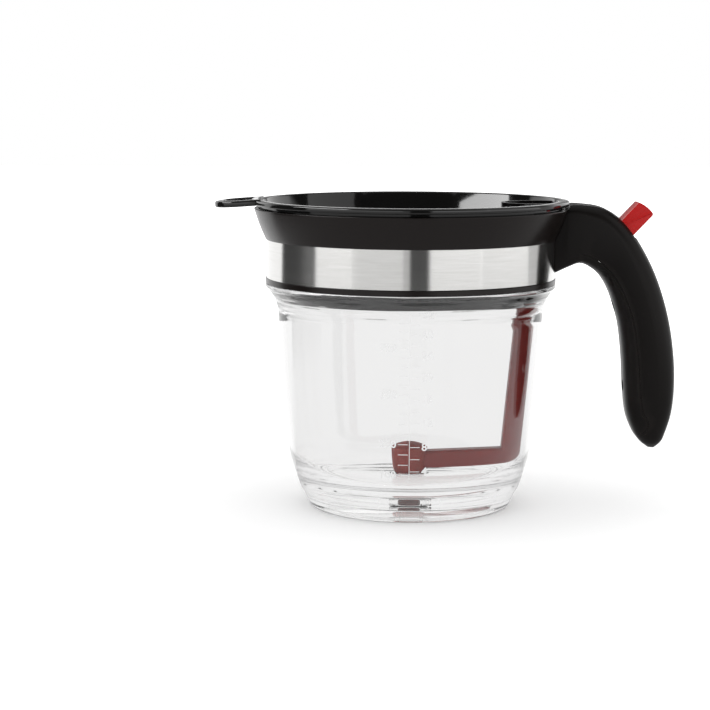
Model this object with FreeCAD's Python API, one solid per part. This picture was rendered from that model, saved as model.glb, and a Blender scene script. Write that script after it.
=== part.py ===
import FreeCAD, Part

import math
import os

# Gravy fat separator: a clear jug whose floor has a drain. A stopper on an L-shaped lift arm
# closes the drain, a thumb lever in the handle raises the arm, and a strainer lid lifts off.
# Millimetres. The jug's axis is Z, the table is z = 0 and the handle is on the +X side.

# Clearances
fixed_gap = 0.1  # curved faces of two pieces that are fixed to each other
slide_gap = 0.3  # pieces that move past each other
pin_gap = 0.05  # a pin or screw in its hole

# Jar, from the top of its body down and up; a bulge is an arc's height over its chord
body_radius = 65.2
body_rise = 64.7
body_taper = 5.0
body_bulge = 0.5
heel_rise = 21.2  # the rounded part under the body
heel_inset = 6.6
heel_bulge = 0.7
foot_height = 8.6  # up to the foot's edge line
foot_step = 0.7
foot_lean = 3.4  # of the foot's side, from its edge line down to its rounding
foot_rounding = 2.2
foot_rounding_height = 1.8
foot_rounding_bulge = 0.6
foot_land = 2.5  # width of the ring that touches the table
shoulder_rise = 13.9
shoulder_flare = 5.6
shoulder_hollow = 1.3
flange_height = 2.2
flange_width = 0.6
jar_wall = 2.6
neck_height = 10.4
neck_wall = 2.9
floor_thickness = 4.2
floor_above_edge_line = 3.2
floor_corner = 18.4  # width of the rounded corner between floor and wall
floor_corner_bulge = 4.7
floor_dish = 1.0  # rise of the floor from the drain to its corner
floor_draft = 1.5

# Outlet spout in the floor
spout_bore = 5.2
spout_wall = 1.8
spout_seat = 5.8  # wider part of the bore, which the stopper's nose enters
spout_seat_depth = 3.0
spout_flange = 3.0
spout_flange_height = 2.0
spout_end = 1.2  # the spout's lower end above the table
spout_tip_taper = 0.6

# Stopper
stopper_foot = 1.1  # width of the ring that seals on the spout
stopper_flare = 2.0
stopper_side_height = 16.6
stopper_side_bulge = 0.5
stopper_dome = 2.6
stopper_nose = 2.0

# Trim ring, steel band and gasket on the jar's neck
trim_height = 3.0
trim_rounding = 0.4
band_height = 18.6
band_thickness = 0.6
band_inset = 0.3  # the band stands inside the trim ring's edge
neck_gap = 0.6  # between the band and the jar's neck
gasket_height = 1.0

# Collar
collar_height = 15.1  # of the flare above the steel band
collar_step = 0.2  # the flare starts this much outside the band
collar_flare = 5.7
collar_flare_bulge = 0.35
collar_lip = 2.1  # wall at the collar's top edge
skirt_wall = 3.0
cone_start = 0.8  # the inner cone starts this far above the band
ledge_depth = 2.8  # the strainer's seat below the collar's top edge
ledge_width = 2.7

# Strainer
seal_height = 1.2
rim_overhang = 0.5
rim_height = 2.4
rim_gap = 1.6  # between the collar's top edge and the rim
rim_rounding = 0.8
rim_width = 5.5  # from its edge to the bowl's mouth
strainer_wall = 2.0
strainer_depth = 47.3
funnel_taper = 15.9
hole_radius = 1.75
hole_pitch = 7.5
hole_rings = 6
hood_wall = 1.8
hood_gap = 4.5  # between the hood and the arm guide
hood_lip = 2.2
hood_roof = 1.6
hood_below_rim = 1.1
tab_reach = 18.7  # from the rim's edge
tab_width = 32.0
tab_corner = 13.0
tab_thickness = 3.0
tab_border = 4.8
tab_rounding = 0.9
tab_above_rim = 0.4
tab_droop = 4.0  # degrees

# Lift arm: foot leg, upright leg, stem and head
leg_width = 9.8
leg_depth = 8.0
leg_gap = 2.0  # between the leg and the jar's wall, at the heel
leg_corner = 8.0
leg_corner_cut = 0.8
leg_rounding = 1.4
leg_above_flange = 1.6
bend_below_guide = 1.0  # with the arm lifted
foot_leg_height = 9.3
foot_leg_clear = 5.2  # between the floor and the foot leg
foot_leg_rise = 2.1  # from the stopper out to the upright leg
peg_radius = 4.4
stem_inset = 9.5  # from the neck's inside to the stem's middle
stem_radius = 2.0
head_radius = 4.6
head_height = 2.5
head_above_band = 2.3
head_rounding = 0.6

# Arm guide and return spring
guide_wall = 1.7
guide_below_flange = 2.6
guide_plate = 2.4
guide_wing_thickness = 3.0
wing_margin = 0.4
spring_wire = 0.8
spring_turns = 5.5
spring_radius = 3.3

# Thumb lever
pivot_out = 19.0  # the pin's distance outside the collar's top edge
pivot_down = 12.8  # and below it
pin_radius = 1.5
pin_seat = 3.4
hub_radius = 5.2
lever_angle = 46.5
lever_length = 23.5
lever_tip_bulge = 0.7
lever_thickness = 9.2
lever_width = 14.4
lever_rounding = 1.0
lever_stroke = 12.0  # degrees
fork_arm_height = 4.6
fork_tine = 2.3
crank_length = 2.0

# Handle stations, from its root to its tip: a point on the outer line and one on the inner
# line, each as (out from the collar's top edge, down from it), the half width, the corner
handle_stations = [
    ((-8.0, 1.9), (-8.0, 31.7), 14.0, 4.0),
    ((-1.0, -1.7), (-1.0, 28.4), 14.0, 4.0),
    ((7.0, -2.0), (5.5, 26.3), 13.8, 5.0),
    ((18.0, 0.0), (11.5, 29.0), 13.4, 7.0),
    ((28.5, 7.8), (16.5, 33.4), 13.0, 8.5),
    ((37.9, 21.4), (20.5, 40.3), 12.8, 9.0),
    ((44.8, 36.0), (23.3, 48.1), 12.6, 9.2),
    ((50.1, 53.3), (25.9, 57.8), 12.6, 9.4),
    ((53.1, 71.3), (27.8, 73.3), 12.6, 9.6),
    ((53.9, 87.3), (28.7, 87.8), 12.4, 9.6),
    ((52.7, 101.3), (30.3, 101.3), 11.6, 9.0),
    ((49.2, 113.0), (34.0, 110.8), 9.8, 7.2),
    ((47.4, 116.1), (37.5, 115.4), 7.6, 4.7),
    ((44.7, 118.6), (41.3, 118.4), 3.8, 1.5),
]
handle_wall = 3.4
cover_stations = range(2, 11)
cover_neck_depth = 4.5
cover_tip_depth = 7.7
cover_wall = 2.6
channel_stations = range(5, 11)
channel_width = 16.4

# Screws
handle_screw_radius = 1.75
handle_screw_head = 2.7
handle_screw_offset = 9.0  # each side of the handle's middle
handle_screw_length = 17.0
cover_screw_stations = (6, 9)
cover_screw_radius = 1.3
cover_screw_head = 2.6
cover_screw_sink = 2.3
cover_screw_length = 9.0
cover_post_radius = 3.6
screw_head_shape = 0.6  # head height over head radius
screw_head_dome = 0.4  # rounding over head height
screw_recess = 0.55  # reach of the cross over head radius

pick = 0.01  # how near an edge lies to the place it is looked for

# Heights, from the table up
heel_top = foot_height + heel_rise
body_top = heel_top + body_rise
shoulder_top = body_top + shoulder_rise
flange_top = shoulder_top + flange_height
floor_top = foot_height + floor_above_edge_line
floor_under = floor_top - floor_thickness
neck_top = flange_top + neck_height
skirt_bottom = neck_top + gasket_height
trim_top = flange_top + trim_height
band_top = trim_top + band_height
collar_top = band_top + collar_height
ledge_top = collar_top - ledge_depth
strainer_seat = ledge_top + seal_height
rim_bottom = collar_top + rim_gap
rim_top = rim_bottom + rim_height
strainer_floor = rim_top - strainer_depth
hood_top = rim_top - hood_below_rim
roof_top = hood_top - hood_lip
roof_bottom = roof_top - hood_roof
screw_height = (skirt_bottom + band_top) / 2

# Radii round the jug's axis
heel_radius = body_radius - body_taper
foot_radius = heel_radius - heel_inset
shoulder_radius = body_radius + shoulder_flare
flange_radius = shoulder_radius + flange_width
band_outer = flange_radius - band_inset
band_inner = band_outer - band_thickness
neck_outer = band_inner - neck_gap
neck_inner = neck_outer - neck_wall
skirt_outer = band_inner - fixed_gap
skirt_inner = skirt_outer - skirt_wall
collar_foot = band_outer + collar_step
collar_radius = collar_foot + collar_flare
collar_inner = collar_radius - collar_lip
ledge_inner = collar_inner - ledge_width
funnel_top = ledge_inner - slide_gap
funnel_bottom = funnel_top - funnel_taper
strainer_body = collar_inner - 2 * slide_gap
rim_outer = collar_radius + rim_overhang
spout_outer = spout_bore + spout_wall
stopper_base = spout_seat + stopper_foot

# The lift arm and its guide
stem_x = neck_inner - stem_inset
leg_half = leg_width / 2
leg_foot_x = heel_radius - jar_wall - leg_gap - leg_half
foot_leg_low = floor_top + foot_leg_clear
leg_top = flange_top + leg_above_flange
guide_bottom = flange_top - guide_below_flange
guide_half_x = leg_half + slide_gap
guide_half_y = leg_depth / 2 + slide_gap
head_under = band_top + head_above_band
nose_radius = fork_arm_height / 2
nose_z = head_under - fixed_gap - nose_radius
plate_top = nose_z - nose_radius - 2 * fixed_gap
plate_bottom = plate_top - guide_plate
wing_half_width = handle_screw_offset + handle_screw_head + wing_margin
wing_height = band_top - skirt_bottom - 3 * wing_margin
wing_face = math.sqrt(skirt_inner**2 - wing_half_width**2) - guide_wing_thickness
hood_half_width = wing_half_width + 2 * slide_gap + hood_wall
hood_reach = stem_x - guide_half_x - guide_wall - hood_gap - hood_wall

# The lever
pivot_x = collar_radius + pivot_out
pivot_z = collar_top - pivot_down
stroke = math.radians(lever_stroke)
lift = (pivot_x - stem_x) * stroke
leg_bend = guide_bottom - lift - bend_below_guide
fork_half_width = stem_radius + slide_gap + fork_tine
fork_arm_low = pivot_z - fork_arm_height / 2 + slide_gap
fork_arm_high = fork_arm_low + fork_arm_height
slot_half_width = fork_half_width + 2 * slide_gap
slot_top = fork_arm_high + (pivot_x - skirt_inner) * math.sin(stroke) + slide_gap
pin_end = lever_width / 2 + pin_seat
bay_half_width = lever_width / 2 + slide_gap


def vec(x, z, y=0.0):
    return FreeCAD.Vector(x, y, z)


def bulged(start, end, bulge):
    """An arc in the XZ plane. A positive bulge lies to the right of the way."""
    dx = end[0] - start[0]
    dz = end[1] - start[1]
    length = math.hypot(dx, dz)
    x = (start[0] + end[0]) / 2 + dz / length * bulge
    z = (start[1] + end[1]) / 2 - dx / length * bulge
    return Part.Arc(vec(*start), vec(x, z), vec(*end)).toShape()


def outline(start, *steps):
    """A closed face in the XZ plane. A step is a point, or a point with its arc's bulge."""
    edges = []
    here = start
    for step in list(steps) + [start]:
        if len(step) == 3:
            edges.append(bulged(here, step[:2], step[2]))
        elif math.dist(here, step) > 1e-6:
            edges.append(Part.makeLine(vec(*here), vec(*step)))
        here = step[:2]
    return Part.Face(Part.Wire(edges))


def turned(start, *steps):
    """A solid of revolution round the jug's axis."""
    return outline(start, *steps).revolve(vec(0, 0), vec(0, 1), 360)


def ring(inner, outer, bottom, top):
    return turned((inner, bottom), (outer, bottom), (outer, top), (inner, top))


def prism(face, half_width):
    """A face of the XZ plane made into a solid centred on that plane."""
    moved = face.copy()
    moved.translate(FreeCAD.Vector(0, -half_width, 0))
    return moved.extrude(FreeCAD.Vector(0, 2 * half_width, 0))


def block(x0, x1, half_width, z0, z1):
    corner = FreeCAD.Vector(x0, -half_width, z0)
    return Part.makeBox(x1 - x0, 2 * half_width, z1 - z0, corner)


def rod(radius, start, end):
    way = end - start
    return Part.makeCylinder(radius, way.Length, start, way)


def cross_rod(radius, x, z, half_length):
    """A rod along Y."""
    return rod(radius, vec(x, z, -half_length), vec(x, z, half_length))


def stadium(left, right, half_width, z0, z1):
    """A slab between two heights, with a round end on its left."""
    centre = left + half_width
    round_end = Part.makeCylinder(half_width, z1 - z0, vec(centre, z0))
    return round_end.fuse(block(centre, right, half_width, z0, z1)).removeSplitter()


def rim_size(edge):
    """The radius of a round edge, and 0 for any other."""
    return edge.Curve.Radius if edge.Curve.TypeId == "Part::GeomCircle" else 0


def softened(shape, radius, wanted):
    """Rounds each edge that passes the test."""
    picked = [e for e in shape.Edges if wanted(e, e.CenterOfMass)]
    return shape.makeFillet(radius, picked)


def jar():
    """The clear jug: foot ring, dished floor with a hole, wall, shoulder, flange and neck."""
    side_low = foot_radius - foot_lean
    land = side_low - foot_rounding
    hole = spout_outer + fixed_gap
    recess = spout_outer + spout_flange + fixed_gap
    return turned(
        (hole, floor_under),
        (land - foot_land - floor_draft, floor_under),
        (land - foot_land, 0),
        (land, 0),
        (side_low, foot_rounding_height, foot_rounding_bulge),
        (foot_radius, foot_height),
        (foot_radius + foot_step, foot_height + foot_step),
        (heel_radius, heel_top, heel_bulge),
        (body_radius, body_top, body_bulge),
        (shoulder_radius, shoulder_top, -shoulder_hollow),
        (flange_radius, shoulder_top + flange_width),
        (flange_radius, flange_top),
        (neck_outer, flange_top),
        (neck_outer, neck_top),
        (neck_inner, neck_top),
        (neck_inner, shoulder_top),
        (body_radius - jar_wall, body_top, shoulder_hollow / 2),
        (heel_radius - jar_wall, heel_top, -body_bulge),
        (heel_radius - jar_wall - floor_corner, floor_top + floor_dish, -floor_corner_bulge),
        (recess, floor_top),
        (recess, floor_top - spout_flange_height),
        (hole, floor_top - spout_flange_height),
    )


def outlet_spout():
    """A flanged tube pressed into the floor from above; the stopper seals on its flange."""
    under_flange = floor_top - spout_flange_height
    widening = spout_seat - spout_bore
    return turned(
        (spout_bore, spout_end),
        (spout_outer - spout_tip_taper, spout_end),
        (spout_outer, spout_end + 3 * spout_tip_taper),
        (spout_outer, under_flange),
        (spout_outer + spout_flange, under_flange),
        (spout_outer + spout_flange, floor_top),
        (spout_seat, floor_top),
        (spout_seat, floor_top - spout_seat_depth + widening),
        (spout_bore, floor_top - spout_seat_depth),
    )


def foot_leg(start, end, grow):
    """The side of the foot leg between two distances from the axis."""
    slope = foot_leg_rise / leg_foot_x
    low = foot_leg_low - grow
    high = foot_leg_low + foot_leg_height + grow
    return outline(
        (start, low + slope * start),
        (end, low + slope * end),
        (end, high + slope * end),
        (start, high + slope * start),
    )


def upright_leg():
    """The leg that leans out with the jar's wall, then goes straight up into its guide."""
    corner_x = leg_foot_x + leg_half - leg_corner_cut
    bottom = foot_leg_low + foot_leg_rise
    side = outline(
        (leg_foot_x - leg_half, bottom - leg_width / leg_foot_x * foot_leg_rise / 2),
        (corner_x, bottom),
        (stem_x + leg_half, leg_bend),
        (stem_x + leg_half, leg_top),
        (stem_x - leg_half, leg_top),
        (stem_x - leg_half, leg_bend),
        (leg_foot_x - leg_half, bottom + foot_leg_height),
    )
    leg = prism(side, leg_depth / 2)
    return softened(leg, leg_corner, lambda e, c: math.dist((c.x, c.z), (corner_x, bottom)) < 0.1)


def lift_arm():
    legs = prism(foot_leg(0, leg_foot_x - leg_half / 2, 0), leg_depth / 2).fuse(upright_leg())
    legs = legs.removeSplitter()
    side = leg_depth / 2 - pick
    top = leg_top - leg_rounding
    legs = softened(legs, leg_rounding, lambda e, c: abs(c.y) > side and pick < c.x and c.z < top)
    peg = Part.makeCylinder(peg_radius, foot_leg_height, vec(0, foot_leg_low))
    stem_length = head_under + head_height / 2 - leg_top
    stem = Part.makeCylinder(stem_radius, stem_length, vec(stem_x, leg_top))
    return legs.fuse([peg, stem]).removeSplitter()


def lift_head():
    """The cap that the lever's fork lifts, pushed on the end of the stem."""
    head = Part.makeCylinder(head_radius, head_height, vec(stem_x, head_under))
    head = softened(head, head_rounding, lambda e, c: c.z > head_under + head_height - pick)
    depth = head_height / 2 + pin_gap
    return head.cut(Part.makeCylinder(stem_radius + pin_gap, depth, vec(stem_x, head_under)))


def stopper():
    """A soft plug moulded round the end of the arm."""
    nose = spout_seat - slide_gap
    side_top = floor_top + stopper_side_height
    shoulder = stopper_base + stopper_flare
    dome_radius = (shoulder**2 + stopper_dome**2) / (2 * stopper_dome)
    dome_bulge = dome_radius * (1 - math.cos(math.asin(shoulder / dome_radius) / 2))
    barrel = turned(
        (0, floor_top - stopper_nose),
        (nose - slide_gap, floor_top - stopper_nose),
        (nose, floor_top),
        (stopper_base, floor_top),
        (shoulder, side_top, stopper_side_bulge),
        (0, side_top + stopper_dome, dome_bulge),
    )
    peg_room = peg_radius + fixed_gap
    peg_base = vec(0, foot_leg_low - fixed_gap)
    peg_hole = Part.makeCylinder(peg_room, foot_leg_height + 2 * fixed_gap, peg_base)
    side = foot_leg(0, 2 * shoulder, fixed_gap)
    return barrel.cut(peg_hole.fuse(prism(side, leg_depth / 2 + fixed_gap)))


def return_spring():
    """A coil round the stem, between the top of the leg and the guide's plate."""
    radius = spring_wire / 2
    height = plate_bottom - leg_top - spring_wire - fixed_gap
    helix = Part.makeHelix(height / spring_turns, height, spring_radius)
    start = Part.makeCircle(radius, vec(spring_radius, 0), FreeCAD.Vector(0, 1, 0))
    coil = Part.Wire(helix).makePipeShell([Part.Wire(start)], True, True)
    coil.translate(vec(stem_x, leg_top + radius + fixed_gap / 2))
    return coil


def handle_screw_holes(gap, end):
    """The two holes along X for the handle's screws, from the jug's middle to a distance."""
    holes = []
    for y in (-handle_screw_offset, handle_screw_offset):
        start = vec(0, screw_height, y)
        holes.append(rod(handle_screw_radius + gap, start, vec(end, screw_height, y)))
    return holes


def arm_guide():
    """A barrel round the top of the leg, on two wings screwed to the inside of the collar."""
    left = stem_x - guide_half_x - guide_wall
    right = stem_x + guide_half_x + guide_wall
    barrel = block(left, right, guide_half_y + guide_wall, guide_bottom, plate_top)
    middle = (guide_bottom + plate_top) / 2
    barrel = softened(barrel, guide_wall, lambda e, c: abs(c.z - middle) < pick)
    wing_low = screw_height - wing_height / 2
    wing_high = min(screw_height + wing_height / 2, plate_top)
    wings = block(wing_face, skirt_outer, wing_half_width, wing_low, wing_high)
    wings = wings.common(Part.makeCylinder(skirt_inner - fixed_gap, collar_top))
    room = block(stem_x - guide_half_x, stem_x + guide_half_x, guide_half_y, 0, plate_bottom)
    bore = Part.makeCylinder(stem_radius + fixed_gap, collar_top, vec(stem_x, 0))
    cuts = [room, bore] + handle_screw_holes(pin_gap, skirt_outer)
    return barrel.fuse(wings).removeSplitter().cut(cuts)


def trim_ring():
    shape = ring(neck_outer + fixed_gap, flange_radius, flange_top, trim_top)
    return softened(shape, trim_rounding, lambda e, c: abs(rim_size(e) - flange_radius) < pick)


def steel_band():
    """A thin sleeve with holes for the handle's screws."""
    shape = ring(band_inner, band_outer, trim_top, band_top)
    return shape.cut(handle_screw_holes(slide_gap, collar_radius))


def neck_gasket():
    return ring(neck_inner + fixed_gap, neck_outer - fixed_gap, neck_top, skirt_bottom)


def collar():
    """The flared ring that clamps the band, seats the strainer and holds the handle."""
    shape = turned(
        (skirt_inner, skirt_bottom),
        (skirt_outer, skirt_bottom),
        (skirt_outer, band_top),
        (collar_foot, band_top),
        (collar_radius, collar_top, collar_flare_bulge),
        (collar_inner, collar_top),
        (collar_inner, ledge_top),
        (ledge_inner, ledge_top),
        (skirt_inner, band_top + cone_start),
    )
    slot = block(stem_x, collar_radius, slot_half_width, band_top + fixed_gap, slot_top)
    return shape.cut([slot] + handle_screw_holes(pin_gap, collar_radius))


def strainer_seal():
    return ring(ledge_inner + fixed_gap, collar_inner - slide_gap, ledge_top, strainer_seat)


def strainer_bowl():
    """The rim, the flange that sits on the seal, the funnel wall and the floor."""
    wall = strainer_wall
    shape = turned(
        (0, strainer_floor),
        (funnel_bottom, strainer_floor),
        (funnel_top, strainer_seat),
        (strainer_body, strainer_seat),
        (strainer_body, rim_bottom),
        (rim_outer, rim_bottom),
        (rim_outer, rim_top),
        (rim_outer - rim_width, rim_top),
        (funnel_top - wall, strainer_seat),
        (funnel_bottom - wall, strainer_floor + wall),
        (0, strainer_floor + wall),
    )
    return softened(shape, rim_rounding, lambda e, c: abs(rim_size(e) - rim_outer) < pick)


def bowl_inside(grow):
    """The room inside the bowl, grown into its wall."""
    inset = strainer_wall - grow
    return turned(
        (0, strainer_floor),
        (funnel_bottom - inset, strainer_floor),
        (funnel_top - inset, strainer_seat),
        (rim_outer - rim_width, rim_top),
        (rim_outer - rim_width, 2 * rim_top),
        (0, 2 * rim_top),
    )


def hood_plan(inset, z0, z1):
    return stadium(hood_reach + inset, rim_outer, hood_half_width - inset, z0, z1)


def tab_plate(inset, z0, z1):
    """The tab's plan, with its two outer corners rounded."""
    end = -rim_outer - tab_reach + inset
    half_width = tab_width / 2 - inset
    plate = block(end, -rim_outer + tab_corner / 2, half_width, z0, z1)
    side = half_width - pick
    return softened(plate, tab_corner - inset, lambda e, c: c.x < end + pick and abs(c.y) > side)


def tab():
    """A flat loop for lifting the strainer out, opposite the handle."""
    top = rim_top + tab_above_rim
    bottom = top - tab_thickness
    loop = tab_plate(0, bottom, top)
    hole = tab_plate(tab_border, bottom - 1, top + 1)
    loop = loop.cut(hole.cut(Part.makeCylinder(rim_outer + rim_rounding, 2 * rim_top)))

    def free_edge(e, c):
        return c.x < -rim_outer - 1 and min(abs(c.z - top), abs(c.z - bottom)) < pick

    loop = softened(loop, tab_rounding, free_edge)
    loop.rotate(vec(-rim_outer, top), FreeCAD.Vector(0, -1, 0), tab_droop)
    return loop.cut(Part.makeCylinder(rim_outer - rim_width / 2, 2 * rim_top))


def perforations():
    """Rings of round holes in the strainer's floor, left out under the hood."""
    spots = [(0, 0)]
    for k in range(1, hole_rings + 1):
        for i in range(6 * k):
            angle = math.pi * i / (3 * k)
            spots.append((k * hole_pitch * math.cos(angle), k * hole_pitch * math.sin(angle)))
    hood_centre = hood_reach + hood_half_width
    keep_off = hood_half_width + 2 * hole_radius
    free = [s for s in spots if math.hypot(max(hood_centre - s[0], 0), s[1]) > keep_off]
    base = strainer_floor - strainer_wall
    return [Part.makeCylinder(hole_radius, 3 * strainer_wall, vec(x, base, y)) for x, y in free]


def strainer():
    """The bowl, its lifting tab, and a hood over the arm guide that is hollow from below."""
    hood = hood_plan(0, strainer_floor, hood_top).common(bowl_inside(strainer_wall / 2))
    shape = strainer_bowl().fuse([hood, tab()]).removeSplitter()
    passage = hood_plan(hood_wall, strainer_floor - 1, roof_bottom)
    passage = passage.common(Part.makeCylinder(strainer_body - strainer_wall / 2, roof_bottom))
    recess = hood_plan(hood_wall, roof_top, 2 * rim_top).common(bowl_inside(0))
    return shape.cut([passage, recess] + perforations())


def lever_point(along, across, turn=0.0):
    """A point in the paddle's frame, from the pin: along it, and across to its lower side."""
    angle = math.radians(lever_angle - turn)
    x = pivot_x + along * math.cos(angle) + across * math.sin(angle)
    z = pivot_z + along * math.sin(angle) - across * math.cos(angle)
    return (x, z)


def paddle():
    side = outline(
        (pivot_x, pivot_z),
        lever_point(0, hub_radius),
        lever_point(hub_radius * 0.8, lever_thickness),
        lever_point(lever_length - lever_tip_bulge, lever_thickness),
        lever_point(lever_length - 2 * lever_tip_bulge, 0) + (lever_tip_bulge,),
    )
    shape = prism(side, lever_width / 2)
    start = sum(lever_point(hub_radius, 0))
    return softened(shape, lever_rounding, lambda e, c: c.x + c.z > start)


def fork_arm():
    """The arm from the hub through the collar, ending in a fork under the lift head."""
    crank = stem_x + head_radius + crank_length
    side = outline(
        (pivot_x, fork_arm_low),
        (pivot_x, fork_arm_high),
        (crank + crank_length / 2, fork_arm_high),
        (crank, nose_z + nose_radius),
        (stem_x, nose_z + nose_radius),
        (stem_x, nose_z - nose_radius, -nose_radius),
        (crank - crank_length / 2, nose_z - nose_radius),
        (crank + crank_length, fork_arm_low),
    )
    gap = stem_radius + slide_gap
    slot = block(0, stem_x, gap, nose_z - fork_arm_height, nose_z + fork_arm_height)
    hole = Part.makeCylinder(gap, 2 * fork_arm_height, vec(stem_x, nose_z - fork_arm_height))
    return prism(side, fork_half_width).cut([slot, hole])


def thumb_lever():
    hub = cross_rod(hub_radius, pivot_x, pivot_z, lever_width / 2)
    shape = paddle().fuse([hub, fork_arm()]).removeSplitter()
    return shape.cut(cross_rod(pin_radius + pin_gap, pivot_x, pivot_z, lever_width))


def lever_pin():
    return cross_rod(pin_radius, pivot_x, pivot_z, pin_end)


def rounded_section(corners, radius):
    """A closed wire through four corners of a rectangle, each rounded."""
    points = []
    for i, corner in enumerate(corners):
        arrive = (corner - corners[i - 1]).normalize()
        leave = (corners[(i + 1) % 4] - corner).normalize()
        middle = corner + (leave - arrive) * (radius * (1 - math.sqrt(0.5)))
        points.append((corner - arrive * radius, middle, corner + leave * radius))
    edges = []
    for i, (start, middle, end) in enumerate(points):
        edges.append(Part.makeLine(points[i - 1][2], start))
        edges.append(Part.Arc(start, middle, end).toShape())
    return Part.Wire(edges)


def handle_point(place):
    return vec(collar_radius + place[0], collar_top - place[1])


def handle_section(outer_place, inner_place, half_width, corner):
    outer = handle_point(outer_place)
    inner = handle_point(inner_place)
    side = FreeCAD.Vector(0, half_width, 0)
    return rounded_section([outer - side, outer + side, inner + side, inner - side], corner)


def handle_solid():
    return Part.makeLoft([handle_section(*s) for s in handle_stations], True, False)


def collar_room():
    """What the handle's root stands against: the band, the collar and the strainer's rim."""
    return turned(
        (0, foot_height),
        (band_outer + fixed_gap, foot_height),
        (band_outer + fixed_gap, band_top),
        (collar_foot + fixed_gap, band_top),
        (collar_radius + fixed_gap, collar_top, collar_flare_bulge),
        (rim_outer + slide_gap, collar_top),
        (rim_outer + slide_gap, 2 * rim_top),
        (0, 2 * rim_top),
    )


def station_way(i):
    """The direction across the handle at a station, from its inner to its outer line."""
    outer = handle_point(handle_stations[i][0])
    inner = handle_point(handle_stations[i][1])
    return (outer - inner).normalize()


def under_inner(i, depth):
    return handle_point(handle_stations[i][1]) + station_way(i) * depth


def under_outer(i, depth):
    return handle_point(handle_stations[i][0]) - station_way(i) * depth


def curve_through(points):
    curve = Part.BSplineCurve()
    curve.interpolate(points)
    return curve.toShape()


def channel():
    """The hollow inside the grip, under the cover."""
    near = [under_inner(i, cover_wall) for i in channel_stations]
    far = [under_outer(i, handle_wall) for i in reversed(channel_stations)]
    ends = [Part.makeLine(near[-1], far[0]), Part.makeLine(far[-1], near[0])]
    face = Part.Face(Part.Wire([curve_through(near), ends[0], curve_through(far), ends[1]]))
    return prism(face, channel_width / 2)


def lever_bay():
    """Room in the handle for the lever at rest and pressed, open where its paddle stands out."""
    low = fork_arm_low - slide_gap
    slope = math.tan(stroke)
    high = slot_top - (pivot_x - collar_foot) * slope + hub_radius / 2
    neck = outline((stem_x, low), (pivot_x, low), (pivot_x, high), (stem_x, slot_top))
    gap = 2 * slide_gap
    beyond = 1.4 * lever_length
    sweep = outline(
        lever_point(-hub_radius, -gap),
        lever_point(beyond, -gap),
        lever_point(beyond, lever_thickness + gap, lever_stroke),
        lever_point(hub_radius / 2, lever_thickness + gap, lever_stroke),
        lever_point(-1, hub_radius + gap, lever_stroke),
    )
    hub = cross_rod(hub_radius + gap, pivot_x, pivot_z, bay_half_width)
    return prism(neck, slot_half_width).fuse([prism(sweep, bay_half_width), hub])


def cover_zone(extra):
    """The handle's side that faces the jug, up to the parting line; extra moves it deeper."""
    last = cover_stations[-1]
    step = (cover_tip_depth - cover_neck_depth) / (len(cover_stations) - 1)
    depths = [cover_neck_depth + extra + k * step for k in range(len(cover_stations))]
    deep = [under_inner(i, d) for i, d in zip(cover_stations, depths)]
    turn = under_inner(last + 1, cover_tip_depth / 2 + extra)
    landing = under_inner(last + 1, -cover_tip_depth / 2)
    outside = [under_inner(i, -cover_tip_depth) for i in reversed(cover_stations)]
    straight = [landing] + outside + [deep[0]]
    edges = [curve_through(deep), Part.Arc(deep[-1], turn, landing).toShape()]
    edges += [Part.makeLine(a, b) for a, b in zip(straight, straight[1:])]
    widest = max(s[2] for s in handle_stations)
    return prism(Part.Face(Part.Wire(edges)), widest + 1)


def screw(seat, way, radius, length, head_radius):
    """A pan head screw with a cross recess. The seat is under its head, and way is its own."""
    head_height = head_radius * screw_head_shape
    head = Part.makeCylinder(head_radius, head_height)
    head = softened(head, head_height * screw_head_dome, lambda e, c: c.z > head_height - pick)
    shape = head.fuse(Part.makeCylinder(radius, length, vec(0, -length))).removeSplitter()
    arm = head_radius * screw_recess
    for half_x, half_y in ((arm, arm / 4), (arm / 4, arm)):
        shape = shape.cut(block(-half_x, half_x, half_y, head_height / 2, head_height * 2))
    shape.Placement = FreeCAD.Placement(seat, FreeCAD.Rotation(vec(0, -1), way))
    return shape


def handle_screws():
    """Two screws from inside the jug, through the guide, the collar and the band."""
    out = vec(1, 0)
    seats = [vec(wing_face, screw_height, y) for y in (-handle_screw_offset, handle_screw_offset)]
    sizes = (handle_screw_radius, handle_screw_length, handle_screw_head)
    return Part.makeCompound([screw(seat, out, *sizes) for seat in seats])


def cover_screws():
    """Two screws that hold the cover, sunk below its face."""
    sizes = (cover_screw_radius, cover_screw_length, cover_screw_head)
    stations = cover_screw_stations
    return Part.makeCompound(
        [screw(under_inner(i, cover_screw_sink), station_way(i), *sizes) for i in stations]
    )


def cover_post(i):
    """A post across the channel that a cover screw goes into."""
    return rod(cover_post_radius, under_inner(i, cover_wall / 2), under_outer(i, handle_wall / 2))


def cover_screw_hole(i):
    seat = under_inner(i, cover_screw_sink)
    sunk = rod(cover_screw_head + slide_gap, under_inner(i, -cover_screw_sink), seat)
    end = under_inner(i, cover_screw_sink + cover_screw_length + 1)
    return sunk.fuse(rod(cover_screw_radius + pin_gap, seat, end))


def handle():
    """Both shells of the handle in one, hollowed, with its holes."""
    shape = handle_solid().cut([collar_room(), channel()])
    shape = shape.fuse([cover_post(i) for i in cover_screw_stations])
    cuts = [cover_screw_hole(i) for i in cover_screw_stations]
    cuts += handle_screw_holes(pin_gap, wing_face + handle_screw_length + 1)
    cuts += [lever_bay(), cross_rod(pin_radius + pin_gap, pivot_x, pivot_z, pin_end + pin_gap)]
    return shape.cut(cuts)


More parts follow.
